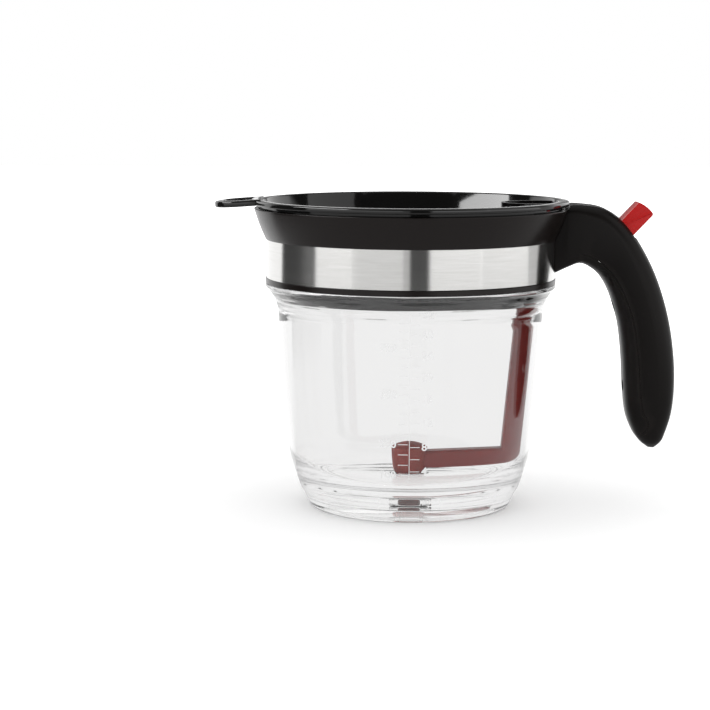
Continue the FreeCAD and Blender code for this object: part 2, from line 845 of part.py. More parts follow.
whole_handle = handle()
parts = {
    "jar": jar(),
    "outlet_spout": outlet_spout(),
    "stopper": stopper(),
    "lift_arm": lift_arm(),
    "lift_head": lift_head(),
    "return_spring": return_spring(),
    "arm_guide": arm_guide(),
    "trim_ring": trim_ring(),
    "steel_band": steel_band(),
    "neck_gasket": neck_gasket(),
    "collar": collar(),
    "strainer_seal": strainer_seal(),
    "strainer": strainer(),
    "thumb_lever": thumb_lever(),
    "lever_pin": lever_pin(),
    "handle_body": whole_handle.cut(cover_zone(fixed_gap)),
    "handle_cover": whole_handle.common(cover_zone(0)),
    "handle_screws": handle_screws(),
    "cover_screws": cover_screws(),
}

os.makedirs("parts", exist_ok=True)
for name, shape in parts.items():
    print(name, len(shape.Solids), round(shape.Volume), shape.isValid())
    shape.exportStep(f"parts/{name}.step")
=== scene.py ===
import math

import bmesh
import bpy
from mathutils import Euler, Matrix, Vector


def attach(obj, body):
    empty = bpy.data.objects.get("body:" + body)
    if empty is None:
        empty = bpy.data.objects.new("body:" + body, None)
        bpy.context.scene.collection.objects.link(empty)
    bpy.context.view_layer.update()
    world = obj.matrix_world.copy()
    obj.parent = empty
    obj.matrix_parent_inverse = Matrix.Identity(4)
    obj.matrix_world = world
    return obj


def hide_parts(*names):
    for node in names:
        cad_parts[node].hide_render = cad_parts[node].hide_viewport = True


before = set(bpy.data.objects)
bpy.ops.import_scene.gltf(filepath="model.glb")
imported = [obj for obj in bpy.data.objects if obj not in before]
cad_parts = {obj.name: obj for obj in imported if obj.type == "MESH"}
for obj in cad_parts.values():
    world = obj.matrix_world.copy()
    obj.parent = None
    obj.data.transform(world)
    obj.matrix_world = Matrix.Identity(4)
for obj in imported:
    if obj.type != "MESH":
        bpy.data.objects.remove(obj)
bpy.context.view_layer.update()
scene = bpy.context.scene
mm = 0.001
print("frame loaded,", len(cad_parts), "nodes")

# Heights from the table and radii from the jug's axis that several pieces share, in mm
jug = {
    "floorUnder": 7.6,
    "floorTop": 11.8,
    "heelTop": 29.8,
    "bodyTop": 94.5,
    "shoulderTop": 108.4,
    "flangeTop": 110.6,
    "neckTop": 121.0,
    "bandTop": 132.2,
    "collarTop": 147.3,
    "seatHeight": 145.7,
    "rimFoot": 148.9,
    "rimTop": 151.3,
    "heelRadius": 60.2,
    "bodyRadius": 65.2,
    "jarWall": 2.6,
    "bandRadius": 71.1,
    "collarFoot": 71.3,
    "collarRadius": 77.0,
    "rimRadius": 77.5,
    "stemX": 57.5,
    "pivotX": 96.0,
    "pivotZ": 134.5,
}


# lines and meshes that the pieces are made from
def arc(start, end, bulge, count=12):
    # the points after start; a positive bulge lies to the right of the way
    start = Vector(start)
    end = Vector(end)
    way = end - start
    side = Vector((way.y, -way.x)).normalized()
    half = way.length / 2
    radius = (half * half + bulge * bulge) / (2 * bulge)
    centre = (start + end) / 2 + side * (bulge - radius)
    turn = 2 * math.asin(half / radius)
    first = start - centre
    return [tuple(centre + Matrix.Rotation(turn * k / count, 2) @ first) for k in range(1, count + 1)]


def softened(corners, steps=5):
    # a corner with a third number is rounded to that radius
    points = []
    for i, corner in enumerate(corners):
        here = Vector(corner[:2])
        if len(corner) == 2:
            points.append(tuple(here))
            continue
        back = (Vector(corners[i - 1][:2]) - here).normalized()
        ahead = (Vector(corners[(i + 1) % len(corners)][:2]) - here).normalized()
        half = back.angle(ahead) / 2
        centre = here + (back + ahead).normalized() * corner[2] / math.sin(half)
        first = here + back * corner[2] / math.tan(half) - centre
        last = here + ahead * corner[2] / math.tan(half) - centre
        turn = math.copysign(math.pi - 2 * half, first.cross(last))
        turns = [Matrix.Rotation(turn * k / steps, 2) for k in range(steps + 1)]
        points += [tuple(centre + part @ first) for part in turns]
    return points


def keep(name, shape):
    bmesh.ops.recalc_face_normals(shape, faces=shape.faces[:])
    mesh = bpy.data.meshes.new(name)
    shape.to_mesh(mesh)
    shape.free()
    piece = bpy.data.objects.new(name, mesh)
    scene.collection.objects.link(piece)
    return piece


def turned(name, profile, steps=240):
    # a closed profile of radius and height, turned round the jug's axis
    shape = bmesh.new()
    rings = []
    for radius, height in profile:
        count = steps if radius > 1e-6 else 1
        angles = [2 * math.pi * k / steps for k in range(count)]
        places = [(radius * mm * math.cos(a), radius * mm * math.sin(a), height * mm) for a in angles]
        rings.append([shape.verts.new(place) for place in places])
    for low, high in zip(rings, rings[1:] + rings[:1]):
        for k in range(steps):
            corners = [low[k % len(low)], low[(k + 1) % len(low)]]
            corners += [high[(k + 1) % len(high)], high[k % len(high)]]
            corners = list(dict.fromkeys(corners))
            if len(corners) > 2:  # a stretch along the axis makes no face
                shape.faces.new(corners)
    return keep(name, shape)


def lofted(name, rings):
    # rings of points in mm, with a flat face at each end
    shape = bmesh.new()
    rows = [[shape.verts.new(Vector(p) * mm) for p in ring] for ring in rings]
    for row, following in zip(rows, rows[1:]):
        for k in range(len(row)):
            j = (k + 1) % len(row)
            shape.faces.new((row[k], row[j], following[j], following[k]))
    shape.faces.new(rows[0])
    shape.faces.new(rows[-1])
    return keep(name, shape)


def plug(name, radius, low, high):
    # a solid cylinder round the jug's axis
    return turned(name, [(0.0, low), (radius, low), (radius, high), (0.0, high)])


def box(left, right, low, high):
    return [(left, low), (right, low), (right, high), (left, high)]


def upright(name, outline, halfWidth):
    # an outline in XZ, made into a slab along Y
    return lofted(name, [[(x, y, z) for x, z in outline] for y in (-halfWidth, halfWidth)])


def level(name, plan, low, high):
    # a plan in XY, made into a slab between two heights
    return lofted(name, [[(x, y, z) for x, y in plan] for z in (low, high)])


def rodTool(start, end, radius, steps=32):
    start = Vector(start)
    end = Vector(end)
    turn = (end - start).to_track_quat("Z", "Y")
    angles = [2 * math.pi * k / steps for k in range(steps)]
    circle = [turn @ Vector((radius * math.cos(a), radius * math.sin(a), 0)) for a in angles]
    return lofted("rodTool", [[p + middle for p in circle] for middle in (start, end)])


def applyModifiers(piece):
    view = bpy.context.evaluated_depsgraph_get()
    shaped = bpy.data.meshes.new_from_object(piece.evaluated_get(view))
    piece.modifiers.clear()
    old = piece.data
    piece.data = shaped
    bpy.data.meshes.remove(old)


def combine(piece, tool, way):
    step = piece.modifiers.new(way, "BOOLEAN")
    step.operation = way
    step.solver = "MANIFOLD"
    step.object = tool
    applyModifiers(piece)
    bpy.data.objects.remove(tool)
    return piece


def cut(piece, *tools):
    for tool in tools:
        combine(piece, tool, "DIFFERENCE")
    return piece


def join(piece, *tools):
    for tool in tools:
        combine(piece, tool, "UNION")
    return piece


def shared(piece, tool):
    return combine(piece, tool, "INTERSECT")


def copyOf(piece):
    twin = piece.copy()
    twin.data = piece.data.copy()
    scene.collection.objects.link(twin)
    return twin


def roundEdges(piece, width, steps=3, above=30):
    step = piece.modifiers.new("edges", "BEVEL")
    step.width = width * mm
    step.segments = steps
    step.limit_method = "ANGLE"
    step.angle_limit = math.radians(above)
    applyModifiers(piece)
    return piece


def finish(piece, material, body, stands=(), sharp=35):
    piece.data.materials.clear()
    piece.data.materials.append(material)
    piece.data.shade_smooth()
    piece.data.set_sharp_from_angle(angle=math.radians(sharp))
    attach(piece, body)
    if stands:
        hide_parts(*stands)
    print("built", piece.name, len(piece.data.polygons), "faces")
    return piece


# effects that several finishes share are node groups
def newGroup(name, inputs, outputs):
    group = bpy.data.node_groups.new(name, "ShaderNodeTree")
    for label, value in inputs.items():
        socket = group.interface.new_socket(label, in_out="INPUT", socket_type="NodeSocketFloat")
        socket.default_value = value
    for label in outputs:
        group.interface.new_socket(label, in_out="OUTPUT", socket_type="NodeSocketFloat")
    return group, group.nodes.new("NodeGroupInput"), group.nodes.new("NodeGroupOutput")


def addNode(tree, kind, inputs=None, **settings):
    node = tree.nodes.new(kind)
    for key, value in settings.items():
        setattr(node, key, value)
    for key, value in (inputs or {}).items():
        socket = node.inputs[key]
        if isinstance(value, bpy.types.NodeSocket):
            tree.links.new(value, socket)
        else:
            socket.default_value = value
    return node


def mapped(tree, value, fromLow, fromHigh, low, high):
    node = addNode(tree, "ShaderNodeMapRange", {
        "Value": value,
        "From Min": fromLow,
        "From Max": fromHigh,
        "To Min": low,
        "To Max": high,
    }, interpolation_type="SMOOTHSTEP")
    return node.outputs[0]


def worked(tree, operation, first, second=0.0):
    node = addNode(tree, "ShaderNodeMath", {0: first, 1: second}, operation=operation)
    return node.outputs[0]


def mixValue(tree, factor, low, high):
    node = addNode(tree, "ShaderNodeMix", {"Factor": factor, 2: low, 3: high}, data_type="FLOAT")
    return node.outputs[0]


def buildFineGrain():
    # the fine spark texture of a moulding tool
    group, given, out = newGroup("fineGrain", {"Scale": 2500.0, "Depth": 1.0}, ["Height"])
    place = addNode(group, "ShaderNodeTexCoord")
    coarse = addNode(group, "ShaderNodeTexNoise", {
        "Vector": place.outputs["Object"],
        "Scale": given.outputs["Scale"],
        "Detail": 3.0,
        "Roughness": 0.6,
    })
    scaled = worked(group, "MULTIPLY", coarse.outputs["Fac"], given.outputs["Depth"])
    group.links.new(scaled, out.inputs["Height"])
    return group


def buildHandlingMarks():
    # slow uneven patches left by hands and washing, with faint short rubs in them
    group, given, out = newGroup("handlingMarks", {"Size": 40.0, "Rubs": 0.3}, ["Mask"])
    place = addNode(group, "ShaderNodeTexCoord")
    patches = addNode(group, "ShaderNodeTexNoise", {
        "Vector": place.outputs["Object"],
        "Scale": given.outputs["Size"],
        "Detail": 4.0,
        "Distortion": 0.6,
    })
    stretched = addNode(group, "ShaderNodeMapping", {
        "Vector": place.outputs["Object"],
        "Scale": (1.0, 1.0, 9.0),
    })
    rubs = addNode(group, "ShaderNodeTexNoise", {
        "Vector": stretched.outputs[0],
        "Scale": 160.0,
        "Detail": 2.0,
    })
    rubbed = worked(group, "MULTIPLY", rubs.outputs["Fac"], given.outputs["Rubs"])
    total = worked(group, "ADD", patches.outputs["Fac"], rubbed)
    group.links.new(total, out.inputs["Mask"])
    return group


def buildEdgeWear():
    # where an edge stands out it is lighter: worn by handling, and a painted highlight along the edge
    group, given, out = newGroup("edgeWearAndHighlight", {"Start": 0.52, "Full": 0.62, "Breakup": 90.0}, ["Mask"])
    shape = addNode(group, "ShaderNodeNewGeometry")
    place = addNode(group, "ShaderNodeTexCoord")
    patchy = addNode(group, "ShaderNodeTexNoise", {
        "Vector": place.outputs["Object"],
        "Scale": given.outputs["Breakup"],
        "Detail": 3.0,
    })
    edge = addNode(group, "ShaderNodeMapRange", {
        "Value": shape.outputs["Pointiness"],
        "From Min": given.outputs["Start"],
        "From Max": given.outputs["Full"],
    })
    broken = worked(group, "MULTIPLY", edge.outputs[0], patchy.outputs["Fac"])
    group.links.new(broken, out.inputs["Mask"])
    return group


def buildBrushLines():
    # fine lines that run level round the jug
    group, given, out = newGroup("brushLines", {"Fineness": 9000.0, "Run": 30.0}, ["Lines", "Streaks"])
    place = addNode(group, "ShaderNodeTexCoord")
    axes = addNode(group, "ShaderNodeSeparateXYZ", {0: place.outputs["Object"]})
    across = worked(group, "MULTIPLY", axes.outputs["X"], given.outputs["Run"])
    along = worked(group, "MULTIPLY", axes.outputs["Y"], given.outputs["Run"])
    height = worked(group, "MULTIPLY", axes.outputs["Z"], given.outputs["Fineness"])
    line = addNode(group, "ShaderNodeCombineXYZ", {0: across, 1: along, 2: height})
    fine = addNode(group, "ShaderNodeTexNoise", {"Vector": line.outputs[0], "Scale": 1.0, "Detail": 3.0})
    wide = addNode(group, "ShaderNodeVectorMath", {
        0: line.outputs[0],
        1: (2.0, 2.0, 0.12),
    }, operation="MULTIPLY")
    streaks = addNode(group, "ShaderNodeTexNoise", {
        "Vector": wide.outputs[0],
        "Scale": 1.0,
        "Detail": 2.0,
    })
    group.links.new(fine.outputs["Fac"], out.inputs["Lines"])
    group.links.new(streaks.outputs["Fac"], out.inputs["Streaks"])
    return group


fineGrain = buildFineGrain()
handlingMarks = buildHandlingMarks()
edgeWearAndHighlight = buildEdgeWear()
brushLines = buildBrushLines()


def placeGroup(tree, group, **inputs):
    node = tree.nodes.new("ShaderNodeGroup")
    node.node_tree = group
    for label, value in inputs.items():
        node.inputs[label].default_value = value
    return node


def newMaterial(name, **values):
    # the material, its node tree and its Principled shader, which holds the plain values itself
    material = bpy.data.materials.new(name)
    material.use_nodes = True
    tree = material.node_tree
    shader = tree.nodes["Principled BSDF"]
    for label, value in values.items():
        shader.inputs[label.replace("_", " ")].default_value = value
    return material, tree, shader


def spread(tree, value, low, high):
    # the middle range of a mask, from low to high
    node = addNode(tree, "ShaderNodeMapRange", {
        "Value": value,
        "From Min": 0.3,
        "From Max": 0.8,
        "To Min": low,
        "To Max": high,
    })
    return node.outputs[0]


def blend(tree, mask, first, second):
    # first is a colour or another blend, second a colour
    if not isinstance(first, bpy.types.NodeSocket):
        first = (*first, 1.0)
    node = addNode(tree, "ShaderNodeMix", {"Factor": mask, 6: first, 7: (*second, 1.0)}, data_type="RGBA")
    return node.outputs[2]


def bump(tree, shader, height, distance):
    node = addNode(tree, "ShaderNodeBump", {"Height": height, "Distance": distance})
    tree.links.new(node.outputs[0], shader.inputs["Normal"])


# finishes
def mouldedPlastic(name, look):
    # an opaque plastic or rubber: colour in slow patches, edges lighter from wear and from a painted
    # highlight, roughness from handling, grain
    material, tree, shader = newMaterial(name, Specular_IOR_Level=look["specular"])
    marks = placeGroup(tree, handlingMarks, Size=look["patchSize"], Rubs=look["rubs"])
    wearAndHighlight = placeGroup(tree, edgeWearAndHighlight, Start=look["wearAndHighlightStart"], Full=look["wearAndHighlightFull"])
    grain = placeGroup(tree, fineGrain, Scale=look["grainScale"], Depth=1.0)
    body = blend(tree, spread(tree, marks.outputs[0], 0.0, 1.0), look["colour"], look["shade"])
    # the lighter edge colour is wear and a painted highlight
    tree.links.new(blend(tree, wearAndHighlight.outputs[0], body, look["wornAndHighlit"]), shader.inputs["Base Color"])
    rough = spread(tree, marks.outputs[0], *look["roughness"])
    tree.links.new(rough, shader.inputs["Roughness"])
    bump(tree, shader, grain.outputs[0], look["grainDepth"] * mm)
    return material


# each look's worn colour is lighter and goes on its edges, as wear and a painted highlight
collarBlackLook = {
    "colour": (0.0062, 0.0040, 0.0035),
    "shade": (0.0074, 0.0050, 0.0044),
    "wornAndHighlit": (0.011, 0.009, 0.008),
    "specular": 0.26,
    "roughness": (0.20, 0.27),
    "patchSize": 35.0,
    "rubs": 0.25,
    "wearAndHighlightStart": 0.53,
    "wearAndHighlightFull": 0.66,
    "grainScale": 3200.0,
    "grainDepth": 0.010,
}
gripBlackLook = dict(
    collarBlackLook,
    colour=(0.0044, 0.0034, 0.0030),
    shade=(0.0054, 0.0042, 0.0038),
    specular=0.13,
    roughness=(0.28, 0.36),
)
glossBlackLook = {
    "colour": (0.0035, 0.0034, 0.0033),
    "shade": (0.0050, 0.0048, 0.0046),
    "wornAndHighlit": (0.008, 0.008, 0.008),
    "specular": 0.5,
    "roughness": (0.050, 0.095),
    "patchSize": 45.0,
    "rubs": 0.3,
    "wearAndHighlightStart": 0.56,
    "wearAndHighlightFull": 0.70,
    "grainScale": 400.0,
    "grainDepth": 0.004,
}
leverRedLook = {
    "colour": (0.45, 0.003, 0.003),
    "shade": (0.40, 0.002, 0.002),
    "wornAndHighlit": (0.48, 0.012, 0.012),
    "specular": 0.22,
    "roughness": (0.16, 0.24),
    "patchSize": 60.0,
    "rubs": 0.3,
    "wearAndHighlightStart": 0.54,
    "wearAndHighlightFull": 0.68,
    "grainScale": 900.0,
    "grainDepth": 0.003,
}
armRedLook = {
    "colour": (0.255, 0.009, 0.004),
    "shade": (0.220, 0.007, 0.003),
    "wornAndHighlit": (0.24, 0.014, 0.013),
    "specular": 0.4,
    "roughness": (0.34, 0.44),
    "patchSize": 50.0,
    "rubs": 0.3,
    "wearAndHighlightStart": 0.54,
    "wearAndHighlightFull": 0.68,
    "grainScale": 1500.0,
    "grainDepth": 0.006,
}
stopperRedLook = dict(
    armRedLook,
    colour=(0.275, 0.019, 0.008),
    shade=(0.240, 0.016, 0.006),
    roughness=(0.46, 0.58),
)
greyRubberLook = {
    "colour": (0.10, 0.10, 0.10),
    "shade": (0.08, 0.08, 0.082),
    "wornAndHighlit": (0.14, 0.14, 0.14),
    "specular": 0.3,
    "roughness": (0.55, 0.70),
    "patchSize": 60.0,
    "rubs": 0.4,
    "wearAndHighlightStart": 0.54,
    "wearAndHighlightFull": 0.70,
    "grainScale": 2600.0,
    "grainDepth": 0.010,
}
whitePrintLook = {
    "colour": (0.90, 0.90, 0.90),
    "shade": (0.86, 0.86, 0.86),
    "wornAndHighlit": (0.92, 0.92, 0.92),
    "specular": 0.3,
    "roughness": (0.45, 0.6),
    "patchSize": 80.0,
    "rubs": 0.4,
    "wearAndHighlightStart": 0.6,
    "wearAndHighlightFull": 0.8,
    "grainScale": 4000.0,
    "grainDepth": 0.003,
}


def clearPlastic(name, look):
    material, tree, shader = newMaterial(name, IOR=look["ior"], Transmission_Weight=1.0, Metallic=0.0)
    marks = placeGroup(tree, handlingMarks, Size=look["patchSize"], Rubs=0.5)
    tint = blend(tree, spread(tree, marks.outputs[0], 0.0, 1.0), look["colour"], look["shade"])
    tree.links.new(tint, shader.inputs["Base Color"])
    tree.links.new(spread(tree, marks.outputs[0], *look["roughness"]), shader.inputs["Roughness"])
    place = addNode(tree, "ShaderNodeTexCoord")
    # the slow waviness of a thick moulding, and the ripples under the flange
    flow = addNode(tree, "ShaderNodeTexNoise", {
        "Vector": place.outputs["Object"],
        "Scale": look["flowScale"],
        "Detail": 1.0,
    })
    flat = addNode(tree, "ShaderNodeVectorMath", {
        0: place.outputs["Object"],
        1: look["rippleScale"],
    }, operation="MULTIPLY")
    ripples = addNode(tree, "ShaderNodeTexNoise", {
        "Vector": flat.outputs[0],
        "Scale": 1.0,
        "Detail": 1.0,
    })
    axes = addNode(tree, "ShaderNodeSeparateXYZ", {0: place.outputs["Object"]})
    foot = look["rippleFoot"] * mm
    full = look["rippleFull"] * mm
    where = mapped(tree, axes.outputs["Z"], foot, full, 0.0, look["rippleDepth"])
    rippled = worked(tree, "MULTIPLY", ripples.outputs["Fac"], where)
    flowed = worked(tree, "MULTIPLY", flow.outputs["Fac"], look["flowDepth"])
    bump(tree, shader, worked(tree, "ADD", flowed, rippled), mm)
    return material


clearLook = {
    "colour": (0.989, 0.988, 0.987),
    "shade": (0.981, 0.980, 0.979),
    "ior": 1.49,
    "roughness": (0.0, 0.012),
    "patchSize": 30.0,
    "flowScale": 28.0,
    "flowDepth": 0.06,
    "rippleScale": (22.0, 22.0, 270.0),
    "rippleFoot": 96.0,  # heights where the ripples start and reach their depth
    "rippleFull": 100.0,
    "rippleDepth": 1.6,
}


def brushedSteel(name, look):
    material, tree, shader = newMaterial(
        name,
        Metallic=1.0,
        Anisotropic=look["anisotropic"],
        Anisotropic_Rotation=look["turn"],
    )
    lines = placeGroup(tree, brushLines, Fineness=look["fineness"], Run=look["run"])
    tone = blend(tree, spread(tree, lines.outputs["Streaks"], 0.0, 1.0), look["colour"], look["shade"])
    tree.links.new(tone, shader.inputs["Base Color"])
    tree.links.new(spread(tree, lines.outputs["Lines"], *look["roughness"]), shader.inputs["Roughness"])
    tangent = addNode(tree, "ShaderNodeTangent", direction_type="RADIAL", axis="Z")
    tree.links.new(tangent.outputs[0], shader.inputs["Tangent"])
    bump(tree, shader, lines.outputs["Lines"], look["depth"] * mm)
    return material


bandSteelLook = {
    "colour": (0.68, 0.675, 0.665),
    "shade": (0.63, 0.625, 0.61),
    "anisotropic": 0.97,
    "turn": 0.25,
    "fineness": 9000.0,
    "run": 30.0,
    "roughness": (0.15, 0.22),
    "depth": 0.0006,
}


def plainSteel(name, look):
    material, tree, shader = newMaterial(name, Metallic=1.0)
    marks = placeGroup(tree, handlingMarks, Size=look["patchSize"], Rubs=0.5)
    grain = placeGroup(tree, fineGrain, Scale=look["grainScale"], Depth=1.0)
    tone = blend(tree, spread(tree, marks.outputs[0], 0.0, 1.0), look["colour"], look["shade"])
    tree.links.new(tone, shader.inputs["Base Color"])
    tree.links.new(spread(tree, marks.outputs[0], *look["roughness"]), shader.inputs["Roughness"])
    bump(tree, shader, grain.outputs[0], look["grainDepth"] * mm)
    return material


plainSteelLook = {
    "colour": (0.60, 0.60, 0.59),
    "shade": (0.50, 0.50, 0.50),
    "roughness": (0.22, 0.36),
    "patchSize": 120.0,
    "grainScale": 2500.0,
    "grainDepth": 0.003,
}

collarBlack = mouldedPlastic("collarBlack", collarBlackLook)
gripBlack = mouldedPlastic("gripBlack", gripBlackLook)
glossBlack = mouldedPlastic("glossBlack", glossBlackLook)
leverRed = mouldedPlastic("leverRed", leverRedLook)
armRed = mouldedPlastic("armRed", armRedLook)
stopperRed = mouldedPlastic("stopperRed", stopperRedLook)
greyRubber = mouldedPlastic("greyRubber", greyRubberLook)
whitePrint = mouldedPlastic("whitePrint", whitePrintLook)
clearJar = clearPlastic("clearJar", clearLook)
bandSteel = brushedSteel("bandSteel", bandSteelLook)
screwSteel = plainSteel("screwSteel", plainSteelLook)
print("finishes made")

keptNodes = {
    "outlet_spout": clearJar,
    "stopper": stopperRed,
    "lift_arm": armRed,
    "lift_head": armRed,
    "return_spring": screwSteel,
    "arm_guide": collarBlack,
    "trim_ring": collarBlack,
    "steel_band": bandSteel,
    "neck_gasket": greyRubber,
    "strainer_seal": greyRubber,
    "lever_pin": screwSteel,
    "handle_screws": screwSteel,
    "cover_screws": screwSteel,
}
for nodeName, material in keptNodes.items():
    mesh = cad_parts[nodeName].data
    mesh.materials.clear()
    mesh.materials.append(material)


# jar: foot ring, dished floor with a hole, wall, shoulder, flange and neck
jarShape = {
    "footStart": 48.0,
    "footEdge": 0.4,  # rounding of the ring that touches the table
    "footLand": 2.5,
    "footSide": (50.2, 1.8),  # where the foot's rounding ends
    "footBulge": 0.6,
    "footRadius": 53.6,
    "footHeight": 8.6,
    "footStep": 0.7,
    "heelBulge": 0.7,
    "bodyBulge": 0.5,
    "shoulderRadius": 70.8,
    "shoulderHollow": 1.3,
    "flangeWidth": 0.6,
    "flangeEdge": 0.5,
    "flangeCorner": 0.3,
    "neckOuter": 69.9,
    "neckInner": 67.0,
    "neckEdges": (0.5, 0.8),  # outside and inside
    "neckHollow": 6.0,
    "floorCorner": 18.4,
    "floorCornerBulge": 4.7,
    "floorDish": 1.0,
    "hollowDraft": 1.5,
    "spoutHole": 7.1,
    "spoutRecess": 10.1,
    "spoutRecessDepth": 2.0,
}


def jarOutside():
    s = jarShape
    footEdge = (s["footRadius"], s["footHeight"])
    step = (s["footRadius"] + s["footStep"], s["footHeight"] + s["footStep"])
    heel = (jug["heelRadius"], jug["heelTop"])
    body = (jug["bodyRadius"], jug["bodyTop"])
    shoulder = (s["shoulderRadius"], jug["shoulderTop"])
    line = [(s["footStart"], 0.0, s["footEdge"])]
    line += arc((s["footStart"], 0.0), s["footSide"], s["footBulge"], 8)
    line += [footEdge, step]
    line += arc(step, heel, s["heelBulge"], 12)
    line += arc(heel, body, s["bodyBulge"], 24)
    line += arc(body, shoulder, -s["shoulderHollow"], 14)
    return line


def jarRadius(height):
    # the outer radius of the jar's wall at a height, for what is printed on it
    line = [p for p in jarOutside() if p[1] >= jarShape["footHeight"]]
    for low, high in zip(line, line[1:]):
        if low[1] <= height <= high[1]:
            return low[0] + (high[0] - low[0]) * (height - low[1]) / (high[1] - low[1])
    return line[-1][0]


def buildJar():
    s = jarShape
    edge = s["shoulderRadius"] + s["flangeWidth"]
    innerBody = (jug["bodyRadius"] - jug["jarWall"], jug["bodyTop"])
    innerHeel = (jug["heelRadius"] - jug["jarWall"], jug["heelTop"])
    floorEdge = (innerHeel[0] - s["floorCorner"], jug["floorTop"] + s["floorDish"])
    recessFloor = jug["floorTop"] - s["spoutRecessDepth"]
    hollowSide = s["footStart"] - s["footLand"]
    neckEdge, mouthEdge = s["neckEdges"]
    line = [(s["spoutHole"], jug["floorUnder"])]
    line += [(hollowSide - s["hollowDraft"], jug["floorUnder"], s["hollowDraft"])]
    line += [(hollowSide, 0.0, s["footEdge"])]
    line += jarOutside()
    line += [(edge, jug["shoulderTop"] + s["flangeWidth"], s["flangeEdge"])]
    line += [(edge, jug["flangeTop"], s["flangeEdge"])]
    line += [(s["neckOuter"], jug["flangeTop"], s["flangeCorner"])]
    line += [(s["neckOuter"], jug["neckTop"], neckEdge), (s["neckInner"], jug["neckTop"], mouthEdge)]
    line += [(s["neckInner"], jug["shoulderTop"], s["neckHollow"])]
    line += [innerBody]
    line += arc(innerBody, innerHeel, -s["bodyBulge"], 24)
    line += arc(innerHeel, floorEdge, -s["floorCornerBulge"], 14)
    line += [(s["spoutRecess"], jug["floorTop"]), (s["spoutRecess"], recessFloor)]
    line += [(s["spoutHole"], recessFloor)]
    jar = turned("jar", softened(line))
    return finish(jar, clearJar, "jug", ["jar"], 30)


buildJar()


# printed scale, wrapped on the front of the jar
scaleShape = {
    "thickness": 0.04,
    "gap": 0.005,  # between the wall and the print
    "leastGap": 0.004,
    "lineWidth": 0.28,
    "barLength": 1.5,
    "middle": -1.7,
    "lineLow": 23.0,
    "lineHigh": 102.6,
    "millilitres": (100, 950, 50),  # first and last mark, step
    "ounces": (4, 32, 2),
    "millilitreLabels": (100, 250, 500, 750),
    "ounceLabels": (4, 8, 12, 16, 20, 24, 28, 32),
    "fillStart": 14.7,
    "fillRise": 0.1052,  # mm for each ml
    "fillWidening": 0.0000141,
    "millilitreTick": (-7.0, -2.4),
    "ounceTick": (-1.35, 3.1),
    "millilitreEnd": -7.8,
    "ounceStart": 4.0,
    "digitSize": 5.3,
    "digitWeight": 0.10,
    "ounce": 29.57,
}


def fillHeight(fill):
    # how high the jar stands full: each mark is a little nearer to the last, as the jar widens
    s = scaleShape
    return s["fillStart"] + s["fillRise"] * fill - s["fillWidening"] * fill ** 2


def textFaces(words, x, z, align):
    curve = bpy.data.curves.new("digits", "FONT")
    curve.body = words
    curve.size = scaleShape["digitSize"]
    curve.align_x = align
    curve.align_y = "CENTER"
    curve.resolution_u = 3
    curve.offset = scaleShape["digitWeight"]
    letters = bpy.data.objects.new("digits", curve)
    scene.collection.objects.link(letters)
    view = bpy.context.evaluated_depsgraph_get()
    flat = bpy.data.meshes.new_from_object(letters.evaluated_get(view))
    bpy.data.objects.remove(letters)
    bpy.data.curves.remove(curve)
    points = [(v.co.x + x, v.co.y + z) for v in flat.vertices]
    faces = [tuple(p.vertices) for p in flat.polygons]
    bpy.data.meshes.remove(flat)
    return points, faces


def barFaces(left, right, low, high):
    # a thin bar in short lengths, so that it can bend with the wall
    count = max(1, round(max(right - left, high - low) / scaleShape["barLength"]))
    tall = high - low > right - left
    points = []
    for k in range(count + 1):
        part = k / count
        if tall:
            points += [(left, low + (high - low) * part), (right, low + (high - low) * part)]
        else:
            points += [(left + (right - left) * part, low), (left + (right - left) * part, high)]
    faces = [(2 * k, 2 * k + 1, 2 * k + 3, 2 * k + 2) for k in range(count)]
    return points, faces


def buildScale():
    s = scaleShape
    half = s["lineWidth"] / 2
    marks = [barFaces(s["middle"] - half, s["middle"] + half, s["lineLow"], s["lineHigh"])]
    first, last, step = s["millilitres"]
    for fill in range(first, last + 1, step):
        height = fillHeight(fill)
        marks.append(barFaces(*s["millilitreTick"], height - half, height + half))
        if fill in s["millilitreLabels"]:
            marks.append(textFaces(str(fill), s["millilitreEnd"], height, "RIGHT"))
    first, last, step = s["ounces"]
    for ounces in range(first, last + 1, step):
        height = fillHeight(ounces * s["ounce"])
        marks.append(barFaces(*s["ounceTick"], height - half, height + half))
        if ounces in s["ounceLabels"]:
            marks.append(textFaces(str(ounces), s["ounceStart"], height, "LEFT"))
    shape = bmesh.new()
    for points, faces in marks:
        verts = []
        for x, z in points:
            wall = jarRadius(z) + s["gap"]
            out = Vector((x, -math.sqrt(wall * wall - x * x), z))
            verts.append(shape.verts.new(out * mm))
        for face in faces:
            shape.faces.new([verts[i] for i in face])
    scale = keep("fill_scale", shape)
    thick = scale.modifiers.new("thickness", "SOLIDIFY")
    thick.thickness = s["thickness"] * mm
    thick.offset = 1.0
    applyModifiers(scale)
    for vertex in scale.data.vertices:
        flat = Vector((vertex.co.x, vertex.co.y, 0))
        least = (jarRadius(vertex.co.z / mm) + s["leastGap"]) * mm
        if flat.length < least:
            vertex.co += flat.normalized() * (least - flat.length)
    return finish(scale, whitePrint, "jug", [], 30)


buildScale()


# collar, with the ledge for the strainer and the slot for the lever
collarShape = {
    "skirtInner": 67.4,
    "skirtOuter": 70.4,
    "skirtFoot": 122.0,
    "coneStart": 0.8,
    "flareBulge": 0.35,
    "ledgeInner": 72.2,
    "ledgeHeight": 144.5,
    "lipInner": 74.9,
    "slotHalfWidth": 5.2,
    "slotHeights": (132.3, 143.3),
    "slotReach": 80.0,
    "edge": 0.5,
    "fineEdge": 0.3,
    "footEdge": 0.25,
    "ledgeEdge": 0.4,
    "coneRounding": 3.0,
}


